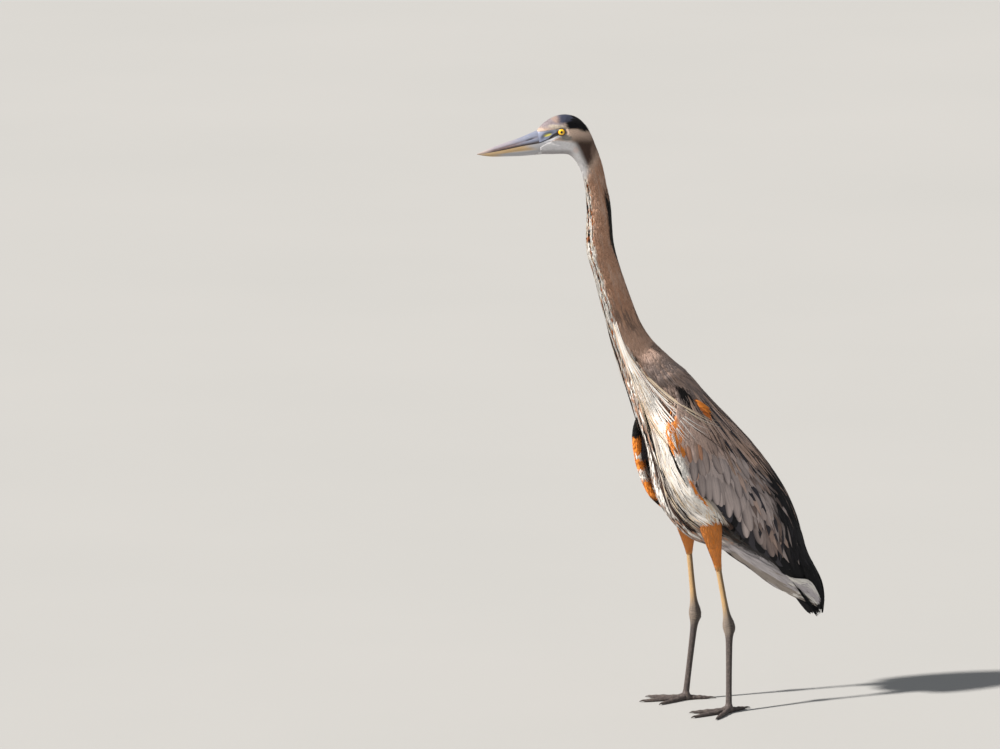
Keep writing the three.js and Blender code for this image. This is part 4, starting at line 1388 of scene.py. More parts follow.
def walk(surface, along, around, length, course, steps, sway):
    """Leads feathers from their roots. course gives the way they want to go; sway turns each one aside."""
    places, outs, tracks = [], [], []
    shares = shares_of(steps)
    turn_c, turn_s = np.cos(sway)[:, None], np.sin(sway)[:, None]
    for i in range(steps):
        here, da, db, out = frame_on(surface, along, around)
        places.append(here)
        outs.append(out)
        tracks.append((along, around))
        if i + 1 < steps:
            way = course(here, unit(da), out, around)
            way = unit(way - out * dot(way, out))
            way = way * turn_c + np.cross(out, way) * turn_s
            stride = way * (length * (shares[i + 1] - shares[i]))[:, None]
            aa, ab, bb = dot(da, da)[:, 0], dot(da, db)[:, 0], dot(db, db)[:, 0]
            sa, sb = dot(stride, da)[:, 0], dot(stride, db)[:, 0]
            det = np.maximum(aa * bb - ab * ab, 1e-6)
            along = np.clip(along + (sa * bb - sb * ab) / det, 0.0, surface.last)
            around = around + (sb * aa - sa * ab) / det
    return np.stack(places, 1), np.stack(outs, 1), np.moveaxis(np.array(tracks), 0, -1)


# %% The vane
def taper(t, start, span, power):
    """1 as far as start, and from there falling to 0 over the span."""
    return 1 - np.clip((t - start) / span, 0, 1) ** power


OUTLINES = {
    "round": lambda t: smooth(t, -0.5, 0.45) * np.sqrt(np.clip(taper(t, 0.5, 0.5, 2.6), 0, 1)),
    "lance": lambda t: smooth(t, -0.35, 0.3) * taper(t, 0.3, 0.7, 1.7),
    "plume": lambda t: smooth(t, -0.03, 0.35) * taper(t, 0.35, 0.65, 1.8),
    "hair": lambda t: 1 - 0.85 * t**1.5,
    "quill": lambda t: smooth(t, -0.6, 0.25) * np.sqrt(np.clip(taper(t, 0.72, 0.28, 2.0), 0, 1)),
}
LEAST_WIDTH = 0.07


def vanes(path, out, half, outline, ring=3, crown=0.25, thick=0.3):
    """Closed vanes along paths (feathers, stations, 3). ring is how many points cross the upper side."""
    t = shares_of(path.shape[1])
    width = half[:, None] * np.maximum(OUTLINES[outline](t), LEAST_WIDTH)[None]
    ahead = unit(np.gradient(path, axis=1))
    across = unit(np.cross(out, ahead))
    out = unit(np.cross(ahead, across))
    u = np.linspace(-1, 1, ring)
    inner = u[1:-1][::-1]
    across_all = np.concatenate([u, inner])
    bulge = np.concatenate([crown * (1 - u**2), crown * (1 - inner**2)])
    under = np.concatenate([0 * u, 1 - inner**2])
    lift = width[..., None] * bulge - thick * under * np.minimum(1, 0.4 + width[..., None])
    points = path[:, :, None] + across[:, :, None] * (width[..., None] * across_all)[..., None]
    return points + out[:, :, None] * lift[..., None], across_all, t


DICE = np.random.default_rng(41)
PATCH = 0.003  # the width of a feather's own patch on the map
COAT_TRIANGLES = []


class Coat:
    """Feathers gathered into one mesh piece."""

    def __init__(self, name, slot):
        self.name, self.slot = name, slot
        self.sets = []

    def add(self, points, u, t, tone, half, length, root):
        """points (feathers, stations, ring, 3); root is the place of each root on the skin's unwrap."""
        self.sets.append((points, u, t, tone, half, length, root))

    def make(self, material):
        places, walls, caps, tones, shapes, sizes, maps, rims = [], [], [], [], [], [], [], []
        start = 0
        for points, u, t, tone, half, length, root in self.sets:
            count, steps, ring = points.shape[:3]
            index = np.arange(count * steps * ring).reshape(count, steps, ring) + start
            beside = np.roll(index, -1, axis=2)
            wall = [index[:, :-1], index[:, 1:], beside[:, 1:], beside[:, :-1]]
            walls.append(np.stack(wall, -1).reshape(-1, 4))
            caps += [index[:, 0], index[:, -1, ::-1]]
            shape = (count, steps, ring)
            seeds = DICE.random(count)[:, None, None]
            across = np.broadcast_to(u, shape)
            ahead = np.broadcast_to(t[:, None], shape)
            shapes.append(np.stack([across, ahead, np.broadcast_to(seeds, shape)], -1).reshape(-1, 3))
            half_all, length_all = (np.broadcast_to(v[:, None, None], shape) for v in (half, length))
            sizes.append(np.stack([half_all, length_all, 0 * half_all], -1).reshape(-1, 3))
            tones.append(tone.reshape(-1, 3))
            patch = root[:, None, None] + PATCH * np.stack([across / 2, ahead - 0.5], -1)
            maps.append(patch.reshape(-1, 2))
            edge = np.where(u <= -1, 1, np.where(u >= 1, 2, 0))
            rims.append(np.broadcast_to(edge, shape).ravel())
            places.append(points.reshape(-1, 3))
            start += count * steps * ring
        rings = sorted({cap.shape[1] for cap in caps})
        ends = [np.vstack([cap for cap in caps if cap.shape[1] == ring]) for ring in rings]
        faces = [np.vstack(walls), *ends]
        mesh = make_mesh(self.name, np.vstack(places), faces)
        attach(mesh, "tone", "FLOAT_COLOR", np.vstack(tones))
        attach(mesh, "vane", "FLOAT_VECTOR", np.vstack(shapes))
        attach(mesh, "size", "FLOAT_VECTOR", np.vstack(sizes))
        corners = np.concatenate([f.ravel() for f in faces])
        uv = mesh.uv_layers.new(name="OFBake")
        uv.data.foreach_set("uv", np.vstack(maps)[corners].astype(np.float32).ravel())
        ends_of = np.zeros(len(mesh.edges) * 2, np.int32)
        mesh.edges.foreach_get("vertices", ends_of)
        rim = np.concatenate(rims)[ends_of.reshape(-1, 2)]
        sharp = mesh.attributes.new("sharp_edge", "BOOLEAN", "EDGE")
        sharp.data.foreach_set("value", (rim[:, 0] == rim[:, 1]) & (rim[:, 0] > 0))
        piece = make_object(self.name, mesh, material)
        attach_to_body(piece, "root")
        triangles = sum(len(f) * (f.shape[1] - 2) for f in faces)
        COAT_TRIANGLES.append(triangles)
        print(f"{self.name}: {sum(len(s[0]) for s in self.sets)} feathers, {triangles} triangles")
        return piece
# %% Rows of roots
PROBES = 97  # the points round a ring that measure its length
PROBE_STEP = 0.01  # how far ahead, in rows, the next ring is measured


def pitch_at(pitch, place):
    return np.interp(place, *pitch) if isinstance(pitch, tuple) else pitch


def one_side(side, low, high):
    """An arc over one side of the bird."""
    return (low, high) if side > 0 else (-high, -low)


def rows_of_roots(surface, start, end, pitch_along, pitch_around, arc=(0.0, 2 * np.pi), jitter=0.28):
    """Roots in staggered rows, like shingles. A pitch is in millimetres, or a table by the place along."""
    rows, turns = [], []
    place, odd = start, 0
    probe = np.linspace(*arc, PROBES)
    while place < end:
        ring = surface.at(np.full(PROBES, place), probe)
        travelled = np.concatenate([[0], np.cumsum(np.linalg.norm(np.diff(ring, axis=0), axis=1))])
        count = max(3, int(travelled[-1] / pitch_at(pitch_around, place)))
        spread = (np.arange(count) + 0.5 * odd + 0.25 + DICE.uniform(-jitter, jitter, count)) / count
        turns.append(np.interp(np.mod(spread, 1) * travelled[-1], travelled, probe))
        ahead = surface.at(np.full(PROBES, min(place + PROBE_STEP, surface.last)), probe)
        speed = np.linalg.norm(ahead - ring, axis=1).mean() / PROBE_STEP
        step = pitch_at(pitch_along, place) / max(speed, 1e-3)
        rows.append(place + DICE.uniform(-jitter, jitter, count) * step)
        place += step
        odd = 1 - odd
    return np.clip(np.concatenate(rows), 0, surface.last), np.concatenate(turns)


def only(arrays, kept):
    return tuple(array[kept] for array in arrays)


def varied(along, at, sizes, low, high):
    """A measure for each feather, read by its place along and varied between two shares of that."""
    return np.interp(along, at, sizes) * DICE.uniform(low, high, len(along))


def unwrap(along, around, span, band=(0.0, 1.0)):
    """The place of roots on a flat unwrap of the skin: along the body to the right, round it upwards."""
    across = (np.asarray(along) - span[0]) / (span[1] - span[0])
    up = np.mod(np.asarray(around), 2 * np.pi) / (2 * np.pi)
    up = lerp(band[0], band[1], 0.01 + 0.98 * up)
    return np.stack([0.01 + 0.98 * np.clip(across, 0, 1), up], -1)


def dress(tone, u, t, root_down_and_shade=0.4, edge_shade=0.0):
    """Colours of all points of feathers from one tone each: dark at the root, from grey down and painted
    shade, and painted shade in slate along the edges.
    """
    shape = (len(tone), len(t), len(u))
    whole = np.broadcast_to(tone[:, None, None], (*shape, 3))
    # darker at the root: partly the grey down, partly painted shade under the overlapping feathers
    whole = whole * lerp(1 - root_down_and_shade, 1.0, smooth(t, 0.0, 0.62))[None, :, None, None]
    # painted shade in slate along the edges of each feather
    if edge_shade:
        whole = over(whole, QUILL_SLATE, np.broadcast_to(np.abs(u), shape) ** 2 * edge_shade)
    return whole


def lay(
    coat, surface, roots, length, half, course, tint, span, band=(0.0, 1.0), steps=4, ring=3, outline="lance",
    rise=(-2.0, 0.3), ruffle=0.25, sway=7.0, crown=0.25, thick=0.3, lift=None, keep=None, shades=(0.9, 1.08),
    root_down_and_shade=0.4, edge_shade=0.0,
):
    """Lays feathers on a surface and adds them to a coat.

    length and half have one entry per feather. course gives the way they lie, and tint a colour for places
    along and around the surface. rise holds the heights of root and tip. ruffle and sway say how much they
    differ in height and heading. lift is the share by which they lie over the shoulders. keep drops some.
    """
    along, around = roots
    count = len(along)
    turn = np.radians(sway) * DICE.normal(0, 1, count)
    path, out, track = walk(surface, along, around, length, course, steps, turn)
    low, high = (np.broadcast_to(np.asarray(v, float), (count,)) for v in rise)
    high = high + ruffle * DICE.normal(0, 1, count)
    rising = 1 - (1 - shares_of(steps)[None]) ** 2.2  # up from the skin at once, then flat over the next row
    path = path + out * lerp(low[:, None], high[:, None], rising)[..., None]
    if lift is not None:
        draped, facing = drape(path, np.sign(path[:, -1, 1] + 1e-9)[:, None], 0.8, out)
        share = lift[:, None, None]
        path, out = lerp(path, draped, share), unit(lerp(out, facing, share))
    kept = keep(path, track) if keep else np.ones(count, bool)
    seen = round(0.7 * (steps - 1))  # the part of a feather that shows
    tone = tint(track[0][:, seen], track[1][:, seen])
    tone = tone * DICE.uniform(*shades, (count, 1))
    path, out, tone, length, half = only((path, out, tone, length, half), kept)
    points, u, t = vanes(path, out, half, outline, ring, crown, thick)
    places = unwrap(along[kept], around[kept], span, band)
    coat.add(points, u, t, dress(tone, u, t, root_down_and_shade, edge_shade), half, length, places)


# %% Plumage finish
BARB_PITCH = 0.8  # millimetres


def plumage(name, barbs=0.12, slant=0.9, shaft=0.0, sheen=0.03, roughness=0.72, relief=0.00022):
    """Feather vanes: barbs that slant to the edges, a shaft down the middle, and a soft sheen."""
    f = Finish(name)
    u, t, seed = f.numbers("vane")
    half, length, _ = f.numbers("size")
    across = abs(u) * half
    lines = (t * length * slant - across) * (2 * np.pi / BARB_PITCH)
    wave = (lines + seed * 40).sine() * 0.5 + 0.5
    clumps = (across * 3.1 + seed * 90 + t * length * 0.3).sine() * 0.5 + 0.5
    drift = f.noise(38.0, 4.0)
    tone = f.mix(wave * clumps * barbs, f.colour("tone"), (0.0, 0.0, 0.0))
    tone = f.mix(drift.between(0.3, 0.72) * 0.4, tone, (0.66, 0.64, 0.64), "MULTIPLY")
    if shaft:
        line = (1 - across.between(0.18, 0.5)) * (1 - t.between(0.75, 1.0))
        tone = f.mix(line * shaft, tone, paint(52, 44, 42))
    return f.set(
        Base_Color=tone,
        Roughness=roughness + wave * 0.1,
        Sheen_Weight=sheen,
        Sheen_Roughness=0.4,
        Specular_IOR_Level=0.18,
        Normal=f.bump(wave + clumps * 0.6, relief, 0.5),
    )


soft_plumage = plumage("soft body feathers", barbs=0.16, slant=0.25, relief=0.0001)
print("plumage finish:", soft_plumage.name)

# %% [markdown]
# Plumes and shoulder feathers hang over whatever lies under them, be it breast or wing. To lay them without
# a cloth simulation, a height map of each side of the bird is made first: how far out the body or the
# folded wing reaches at each place. A plume drawn on the side view is then simply pushed out to that
# height.

# %% How far out each side reaches
MAP_STEP = 3.0
MAP_CORNER = (-300.0, 140.0)
MAP_CELLS = (215, 300)
THIGH_LOW = 386  # below this the thighs stand clear of the plumes
CELL_CORNERS = [(0, 0), (1, 0), (0, 1), (1, 1)]


def nearby(cells):
    """The map and its four neighbours."""
    padded = np.pad(cells, 1, mode="edge")
    return [cells, padded[2:, 1:-1], padded[:-2, 1:-1], padded[1:-1, 2:], padded[1:-1, :-2]]


spine_in_line = Sweep(spine.rows, face_relief)  # with the head not turned


def reach_map(side):
    body = grid(spine_in_line, np.linspace(HEAD_END, spine.last, 640), np.linspace(0, np.pi, 240) * side)[0]
    wing = grid(mantle, np.linspace(0, mantle.last, 520), np.linspace(0, np.pi, 240) * side)[0].reshape(-1, 3)
    wing = wing[inside(wing[:, 0], wing[:, 2], wing_outline(side))]
    thigh = grid(thighs[side], np.linspace(0, 2.5, 90), full_turn(60))[0].reshape(-1, 3)
    points = np.vstack([body.reshape(-1, 3), wing, thigh[thigh[:, 2] > THIGH_LOW]])
    column = ((points[:, 0] - MAP_CORNER[0]) / MAP_STEP).astype(int)
    row = ((points[:, 2] - MAP_CORNER[1]) / MAP_STEP).astype(int)
    kept = (column >= 0) & (column < MAP_CELLS[0]) & (row >= 0) & (row < MAP_CELLS[1])
    cells = np.zeros(MAP_CELLS)
    np.maximum.at(cells, (column[kept], row[kept]), np.abs(points[kept, 1]))
    cells = np.max(nearby(cells), 0)
    for _ in range(6):
        cells = np.mean(nearby(cells), 0)
    return cells


REACH = {side: reach_map(side) for side in (LEFT, RIGHT)}


def reach_at(side, x, z):
    """The height map read between its cells, and how steeply it rises along x and z."""
    column = np.clip((x - MAP_CORNER[0]) / MAP_STEP - 0.5, 1, MAP_CELLS[0] - 3)
    row = np.clip((z - MAP_CORNER[1]) / MAP_STEP - 0.5, 1, MAP_CELLS[1] - 3)
    c, r = column.astype(int), row.astype(int)
    fc, fr = column - c, row - r
    left_map, right_map = REACH[LEFT], REACH[RIGHT]
    corners = ((c + i, r + k) for i, k in CELL_CORNERS)
    a, b, d, e = (np.where(side > 0, left_map[corner], right_map[corner]) for corner in corners)
    height = lerp(lerp(a, b, fc), lerp(d, e, fc), fr)
    return height, lerp(b - a, e - d, fr) / MAP_STEP, lerp(d - a, e - b, fc) / MAP_STEP
def drape(path, side, lift, out=None):
    """Pushes paths out to lie on top of the bird's side, and gives the way out of it there."""
    x, y, z = np.moveaxis(path, -1, 0)
    reach, slope_x, slope_z = reach_at(side, x, z)
    far = np.where(reach > 3, np.maximum(np.abs(y), reach + lift), np.abs(y))
    for _ in range(3):
        far[:, 1:-1] = (far[:, :-2] + 2 * far[:, 1:-1] + far[:, 2:]) / 4
    slopes = np.stack([-np.clip(slope_x, -2, 2), side + 0 * x, -np.clip(slope_z, -2, 2)], -1)
    facing = unit(slopes)
    if out is not None:
        facing = np.where((reach > 3)[..., None], facing, out)
    return np.stack([x, far * side, z], -1), facing


print("reach of the sides:", {SIDE_NAMES[s]: round(float(m.max())) for s, m in REACH.items()}, "mm")

# %% Ways that the plumage lies
FRONT_LEAN, REAR_LEAN = np.radians(7), np.radians(24)


def body_course(here, ahead, out, around):
    return ahead


def wing_course(here, ahead, out, around):
    """Down the wing, leaning back more towards its rear, and along the back near the midline."""
    lean = lerp(FRONT_LEAN, REAR_LEAN, smooth(-here[:, 0], -60, 130))
    down = np.stack([-np.sin(lean), 0 * lean, -np.cos(lean)], -1)
    return unit(lerp(ahead, down, smooth(np.abs(around), 0.45, 1.3)[:, None]))


def backwards(course):
    return lambda here, ahead, out, around: -course(here, ahead, out, around)


# The shares of feathers that don't take the colour of the place they lie in.
ODD_FEATHERS, ODD_REAR, ODD_PLUMES = 0.25, 0.12, 0.12


def spine_tint(along, around):
    odd = DICE.random(len(along)) < ODD_FEATHERS
    dice = np.where(odd, DICE.random(len(along)), streaks(along, around))
    return spine_tone(spine.plain(along, around), along, around, dice)


def wing_tint(along, around):
    return wing_tone(*np.moveaxis(mantle.at(along, around), -1, 0), DICE.random(len(along)))


def one_tint(*colours):
    """A tint that picks one of some colours for each feather."""
    return lambda along, around: np.array(colours)[DICE.integers(0, len(colours), len(along))]


def rear_tint(*colours):
    """Such a tint, with the dark rear of the wing laid over it."""

    def tint(along, around):
        x, _, z = np.moveaxis(mantle.at(along, around), -1, 0)
        odd = DICE.random(len(along)) < ODD_REAR
        return over(one_tint(*colours)(along, around), QUILL_BLACK, np.where(odd, 0.3, dark_rear(x, z)))

    return tint


def from_tips(side, tips, count, length, jitter=3.5):
    """Roots of a row of wing feathers whose tips are spread along a line on the wing."""
    place = (np.arange(count) + 0.5) / count * (len(tips) - 1)
    ends = through(tips, place) + DICE.normal(0, jitter, (count, 2))
    along, around = find_on(mantle, ends[:, 0], ends[:, 1], side)
    back_up = backwards(wing_course)
    track = walk(mantle, along, around, length, back_up, 8, np.zeros(count))[2]
    return track[0][:, -1], track[1][:, -1]


# %% Head feathers
HEAD_SPAN = (0.0, 9.0)
HEAD_AT = [0, 1, 3, 8]
EYE_CLEAR = 7.9  # millimetres round the eye that only the lids cover
BARE_TOP = 1236  # the brow above this height is feathered
head_coat = Coat("head_feathers", "crown_plumage")
head_roots = rows_of_roots(spine, 0.04, 8.3, (HEAD_AT, [1.4, 1.6, 1.8, 2.3]), (HEAD_AT, [1.0, 1.2, 1.4, 1.9]))
along = head_roots[0]


def off_the_face(path, track):
    """Drops feathers that would start or lie on the bare lore or over the eye."""
    plain = spine.plain(track[0], track[1])
    bare = lore_share(plain) * (plain[..., 2] < BARE_TOP)
    far = np.hypot((plain[..., 0] - EYE["x"]) / 1.12, plain[..., 2] - EYE["z"])
    return (bare[:, 0] < 0.5) & (bare[:, -1] < 0.6) & (far.min(1) > EYE_CLEAR)


lay(
    head_coat, spine, head_roots, varied(along, [0, 1, 3, 5, 8], [4.0, 5.6, 8.5, 12.0, 15.5], 0.85, 1.15),
    np.interp(along, HEAD_AT, [0.72, 0.86, 1.08, 1.45]), body_course, spine_tint, HEAD_SPAN, steps=3,
    rise=(-np.interp(along, [0, 2, 8], [0.3, 0.6, 1.1]), 0.1), ruffle=0.04, sway=5, crown=0.07, thick=0.06,
    keep=off_the_face, shades=(0.94, 1.05), root_down_and_shade=0.1,
)
chin = horns["lower"]
chin_roots = rows_of_roots(chin, 0.7, 1.75, 1.6, 1.2, arc=(0.3, np.pi - 0.3))
chin_x = through(chin.rows, chin_roots[0])[:, 0]
chin_end = 368 + 17 * smooth(np.sin(chin_roots[1]), 0.35, 1.0)  # furthest forward in the middle
chin_roots = only(chin_roots, chin_x < chin_end + DICE.normal(0, 1.2, len(chin_x)))
count = len(chin_roots[0])
lay(
    head_coat, chin, chin_roots, DICE.uniform(4.5, 7.0, count), DICE.uniform(0.7, 0.95, count),
    backwards(body_course), one_tint(CHIN_GREY, FACE_WHITE, FACE_WHITE), (-8.0, 2.0), steps=3,
    rise=(-0.1, 0.4), ruffle=0.05, crown=0.07, thick=0.06,
)
CAP_COUNT = 90
cap_roots = (DICE.uniform(3.3, 4.7, CAP_COUNT), DICE.uniform(-0.8, 0.8, CAP_COUNT))
lay(
    head_coat, spine, cap_roots, DICE.uniform(16, 30, CAP_COUNT), DICE.uniform(0.9, 1.5, CAP_COUNT),
    body_course, one_tint(CAP_BLACK), HEAD_SPAN, steps=6, rise=(-0.4, 0.7), sway=4, thick=0.2,
)
head_coat.make(soft_plumage)

# %% Neck feathers
NECK_SPAN = (7.5, 18.5)
NECK_AT = [8, 12, 17]
for name, start, end in (("upper", 7.7, 12.6), ("lower", 12.6, 17.2)):
    neck_coat = Coat(f"neck_feathers_{name}", "neck_plumage")
    roots = rows_of_roots(spine, start, end, (NECK_AT, [2.6, 3.1, 4.2]), (NECK_AT, [1.9, 2.2, 3.2]))
    along, around = roots
    z = spine.plain(along, around)[:, 2]
    off_front = from_front(around)
    loose = smooth(off_front, 2.0, 2.6) * smooth(z, 1060, 1110) * fade(z, 1165, 1185)
    lay(
        neck_coat, spine, roots, varied(along, NECK_AT, [18, 23, 33], 0.8, 1.25),
        varied(along, NECK_AT, [1.35, 1.65, 2.4], 0.8, 1.2), body_course, spine_tint, NECK_SPAN, steps=3,
        rise=(-0.8 * spine_depth(along), 0.15 + 1.8 * loose * DICE.random(len(along))), ruffle=0.08, sway=5,
        crown=0.08, thick=0.08, lift=smooth(along, 15.2, 16.4) * smooth(off_front, 1.0, 1.6),
        shades=(0.94, 1.05), root_down_and_shade=0.15,
    )
    neck_coat.make(soft_plumage)

# %% Breast, belly and undertail feathers
BODY_SPAN = (16.0, 30.0)
BODY_AT = [17, 20, 27, 30]
FEATHER_ENDS = [(0, 0), (18, -10), (4, -18)]  # a feather is hidden where all of these lie under a wing
SHOULDER_TOP = 690
body_coat = Coat("body_feathers", "trunk_plumage")
pitches = ((BODY_AT, [5.0, 6.5, 6.0, 4.5]), (BODY_AT, [4.2, 4.8, 4.6, 3.6]))
body_roots = rows_of_roots(spine, 16.8, 29.7, *pitches)
x, y, z = spine.plain(*body_roots).T
hidden = z < SHOULDER_TOP
for ahead, above in FEATHER_ENDS:
    covered = [inside(x + ahead, z + above, wing_outline(side)) for side in (LEFT, RIGHT)]
    hidden &= np.where(y > 0, *covered)
body_roots = only(body_roots, ~hidden)
along = body_roots[0]
lay(
    body_coat, spine, body_roots, varied(along, [17, 20, 25, 30], [28, 38, 36, 26], 0.8, 1.25),
    varied(along, [17, 20, 25, 30], [2.6, 3.4, 3.6, 2.6], 0.8, 1.2), body_course, spine_tint, BODY_SPAN,
    steps=5, rise=(-0.7 * spine_depth(along), 0.3), ruffle=0.2, sway=6, crown=0.1, thick=0.12, root_down_and_shade=0.2,
)
body_coat.make(soft_plumage)

# %% Wing coverts
# Each row hangs over the roots of the row below it, so the lowest rows are laid deepest.
WING_SPAN = (-1.0, 14.0)
BAND = {LEFT: (0.0, 0.5), RIGHT: (0.5, 1.0)}  # each side's share of the map
BEND_WIDTH = 7  # millimetres at the front edge that the roll's own feathers cover
GREATER_TIPS = [(50, 454), (28, 438), (6, 430), (-34, 406), (-64, 380), (-96, 346), (-146, 312), (-178, 298)]
BROAD_TIPS = [(60, 466), (48, 452), (28, 441), (4, 427), (-38, 404), (-62, 388)]
MEDIAN_TIPS = [(76, 500), (54, 502), (16, 505), (-24, 471), (-47, 452), (-75, 425), (-112, 385), (-150, 345)]
UPPER_TIPS = [(90, 532), (58, 536), (10, 545), (-30, 520), (-62, 492), (-105, 440)]
LESSER_ZONE = [(140, 610), (104, 690), (20, 730), (-70, 640), (-70, 500), (-20, 520), (60, 515)]
LESSER_ZONE += [(112, 505), (140, 560)]
SECONDARY_TIPS = [(20, 418), (-24, 384), (-65, 347), (-118, 313), (-162, 286), (-195, 262), (-215, 240)]
# Tips, count, length, half width, and heights of root and tip.
COVERT_ROWS = [
    (GREATER_TIPS, 17, 105, 12.5, (-4.4, -1.0)),
    (BROAD_TIPS, 8, 92, 12.5, (-3.8, -0.4)),
    (MEDIAN_TIPS, 16, 72, 10.5, (-3.4, 0.2)),
    (UPPER_TIPS, 14, 54, 8.5, (-3.0, 0.4)),
]
vane_plumage = plumage("firm wing feathers", barbs=0.15, shaft=0.5, sheen=0.05, roughness=0.6)
covert_plumage = plumage("wing coverts", barbs=0.16, shaft=0.4, roughness=0.68)
for side in (LEFT, RIGHT):
    covert_coat = Coat(f"wing_coverts_{SIDE_NAMES[side]}", "wing_plumage")
    for tips, count, length, half, rise in COVERT_ROWS:
        lengths = length * DICE.uniform(0.9, 1.1, count)
        lay(
            covert_coat, mantle, from_tips(side, tips, count, lengths), lengths,
            half * DICE.uniform(0.85, 1.08, count), wing_course, wing_tint, WING_SPAN, BAND[side], steps=14,
            ring=7, outline="round", rise=rise, ruffle=0.5, sway=4, crown=0.15, thick=0.5,
            shades=(0.72, 1.16), root_down_and_shade=0.5, edge_shade=0.85,
        )
    roots = rows_of_roots(mantle, 0.1, 6.2, 6.5, 5.5, arc=one_side(side, 0.25, 2.6))
    x, _, z = mantle.at(*roots).T
    within = inside(x, z, wing_outline(side)) & inside(x, z, LESSER_ZONE)
    within &= behind_edge(side, x, z) > BEND_WIDTH
    roots = only(roots, within)
    count = len(roots[0])
    lay(
        covert_coat, mantle, roots, DICE.uniform(28, 40, count), DICE.uniform(3.4, 4.8, count), wing_course,
        wing_tint, WING_SPAN, BAND[side], steps=6, rise=(-1.8, 0.2), ruffle=0.12, sway=6, crown=0.1,
        thick=0.15, shades=(0.93, 1.07), root_down_and_shade=0.15,
    )
    covert_coat.make(covert_plumage)

# %% Flight feathers
SECONDARY_COUNT = 17
quill_coat = Coat("wing_quills", "wing_plumage")
for side in (LEFT, RIGHT):
    lengths = np.full(SECONDARY_COUNT, 150.0)
    lay(
        quill_coat, mantle, from_tips(side, SECONDARY_TIPS, SECONDARY_COUNT, lengths), lengths,
        np.full(SECONDARY_COUNT, 13.5), wing_course, one_tint(QUILL_SLATE, QUILL_BLACK, QUILL_BLACK),
        WING_SPAN, BAND[side], steps=16, ring=7, outline="quill", rise=(-5.0, -3.4), sway=1.5, crown=0.1,
        thick=0.5,
    )
PRIMARY_COUNT = 9
PRIMARY_STEPS = 18
order = np.arange(PRIMARY_COUNT)
t = shares_of(PRIMARY_STEPS)[None]
starts, ends = np.linspace(7.4, 6.4, PRIMARY_COUNT)[:, None], (12.75 - 0.28 * np.abs(order - 2))[:, None]
fan = lerp(np.linspace(0.3, 1.55, PRIMARY_COUNT)[:, None], np.linspace(0.35, 1.9, PRIMARY_COUNT)[:, None], t)
sink = (lerp(-4.4, -2.6, t) - 0.25 * order[:, None])[..., None]
for side in (LEFT, RIGHT):
    path, _, _, out = frame_on(mantle, lerp(starts, ends, t), fan * side)
    path = path + out * sink
    half = np.full(PRIMARY_COUNT, 11.5)
    points, u, shares = vanes(path, out, half, "quill", 7, 0.1, 0.5)
    tone = flat(QUILL_BLACK, order) * DICE.uniform(0.8, 1.3, (PRIMARY_COUNT, 1))
    length = np.linalg.norm(np.diff(path, axis=1), axis=-1).sum(1)
    places = unwrap(starts[:, 0], fan[:, 0] * side, WING_SPAN, BAND[side])
    quill_coat.add(points, u, shares, dress(tone, u, shares, 0.2), half, length, places)
quill_coat.make(vane_plumage)

# %% Back feathers and scapular plumes
# The back feathers cover the midline, and from the shoulders long shredded plumes hang down over both
# wings.
RAGGED_ZONE = [(-24, 530), (-52, 556), (-104, 490), (-160, 420), (-205, 345), (-214, 300)]
RAGGED_ZONE += [(-176, 318), (-112, 362), (-62, 430)]
BACK_AT = [0, 2.5, 6]
back_coat = Coat("back_feathers", "wing_plumage")
scapular_coat = Coat("scapular_plumes", "wing_plumage")
pitches = ((BACK_AT, [4.4, 6.5, 8.5]), (BACK_AT, [3.2, 4.6, 6.0]))
back_roots = rows_of_roots(mantle, 0.02, 11.3, *pitches, arc=(-1.05, 1.05))
along = back_roots[0]
lay(
    back_coat, mantle, back_roots, varied(along, [0, 3, 9], [24, 38, 62], 0.85, 1.2),
    varied(along, [0, 3, 9], [2.1, 3.4, 6.0], 0.85, 1.15), wing_course, wing_tint, WING_SPAN, steps=5,
    rise=(-2.4, 0.2), sway=5, crown=0.15, thick=0.2, shades=(0.92, 1.06), root_down_and_shade=0.25,
)
# Count, half widths and colours.
SCAPULAR_SETS = [
    (190, (2.6, 4.4), (SCAPULAR, WING_TAUPE, TAUPE_PALE, QUILL_SLATE)),
    (250, (0.7, 1.3), (TAUPE_PALE, NAPE_BROWN, STREAK_BLACK, STREAK_BLACK)),
]
for side in (LEFT, RIGHT):
    for count, widths, colours in SCAPULAR_SETS:
        start = DICE.uniform(0.9, 5.4, count)
        far = DICE.uniform(0.3, 0.98, count) * lerp(0.86, 0.8, smooth(start, 2, 5.5))
        lengths = DICE.uniform(75, 150, count) * lerp(1.0, 1.15, smooth(start, 1, 4))
        lay(
            scapular_coat, mantle, (start, side * far), lengths, DICE.uniform(*widths, count), wing_course,
            rear_tint(*colours), WING_SPAN, steps=10, rise=(-1.6, 0.9), sway=3, crown=0.2,
            shades=(0.85, 1.12), root_down_and_shade=0.25,
        )
    roots = rows_of_roots(mantle, 2.5, 10.5, 15.0, 9.5, arc=one_side(side, 0.2, 2.4))
    x, _, z = mantle.at(*roots).T
    roots = only(roots, inside(x, z, RAGGED_ZONE))
    count = len(roots[0])
    lay(
        scapular_coat, mantle, roots, DICE.uniform(44, 74, count), DICE.uniform(4.5, 7.5, count), wing_course,
        rear_tint(COVERT_GREY, SCAPULAR, WING_TAUPE, COVERT_GREY, QUILL_SLATE), WING_SPAN, BAND[side],
        steps=8, ring=5, rise=(-1.6, 1.2), ruffle=0.5, sway=9, crown=0.1, shades=(0.7, 1.1), root_down_and_shade=0.55,
        edge_shade=0.35,
    )
back_coat.make(covert_plumage)
scapular_coat.make(covert_plumage)

# %% Bends of the wings
# Small stiff feathers roll over the front edge of each wing, chestnut at the wrist and white with rust
# below it.
BEND_SPAN = (-0.2, 9.2)
BEND_SHADE = {LEFT: (4.5, 7.5), RIGHT: (10, 13)}  # how far in, in millimetres, the roll turns dark


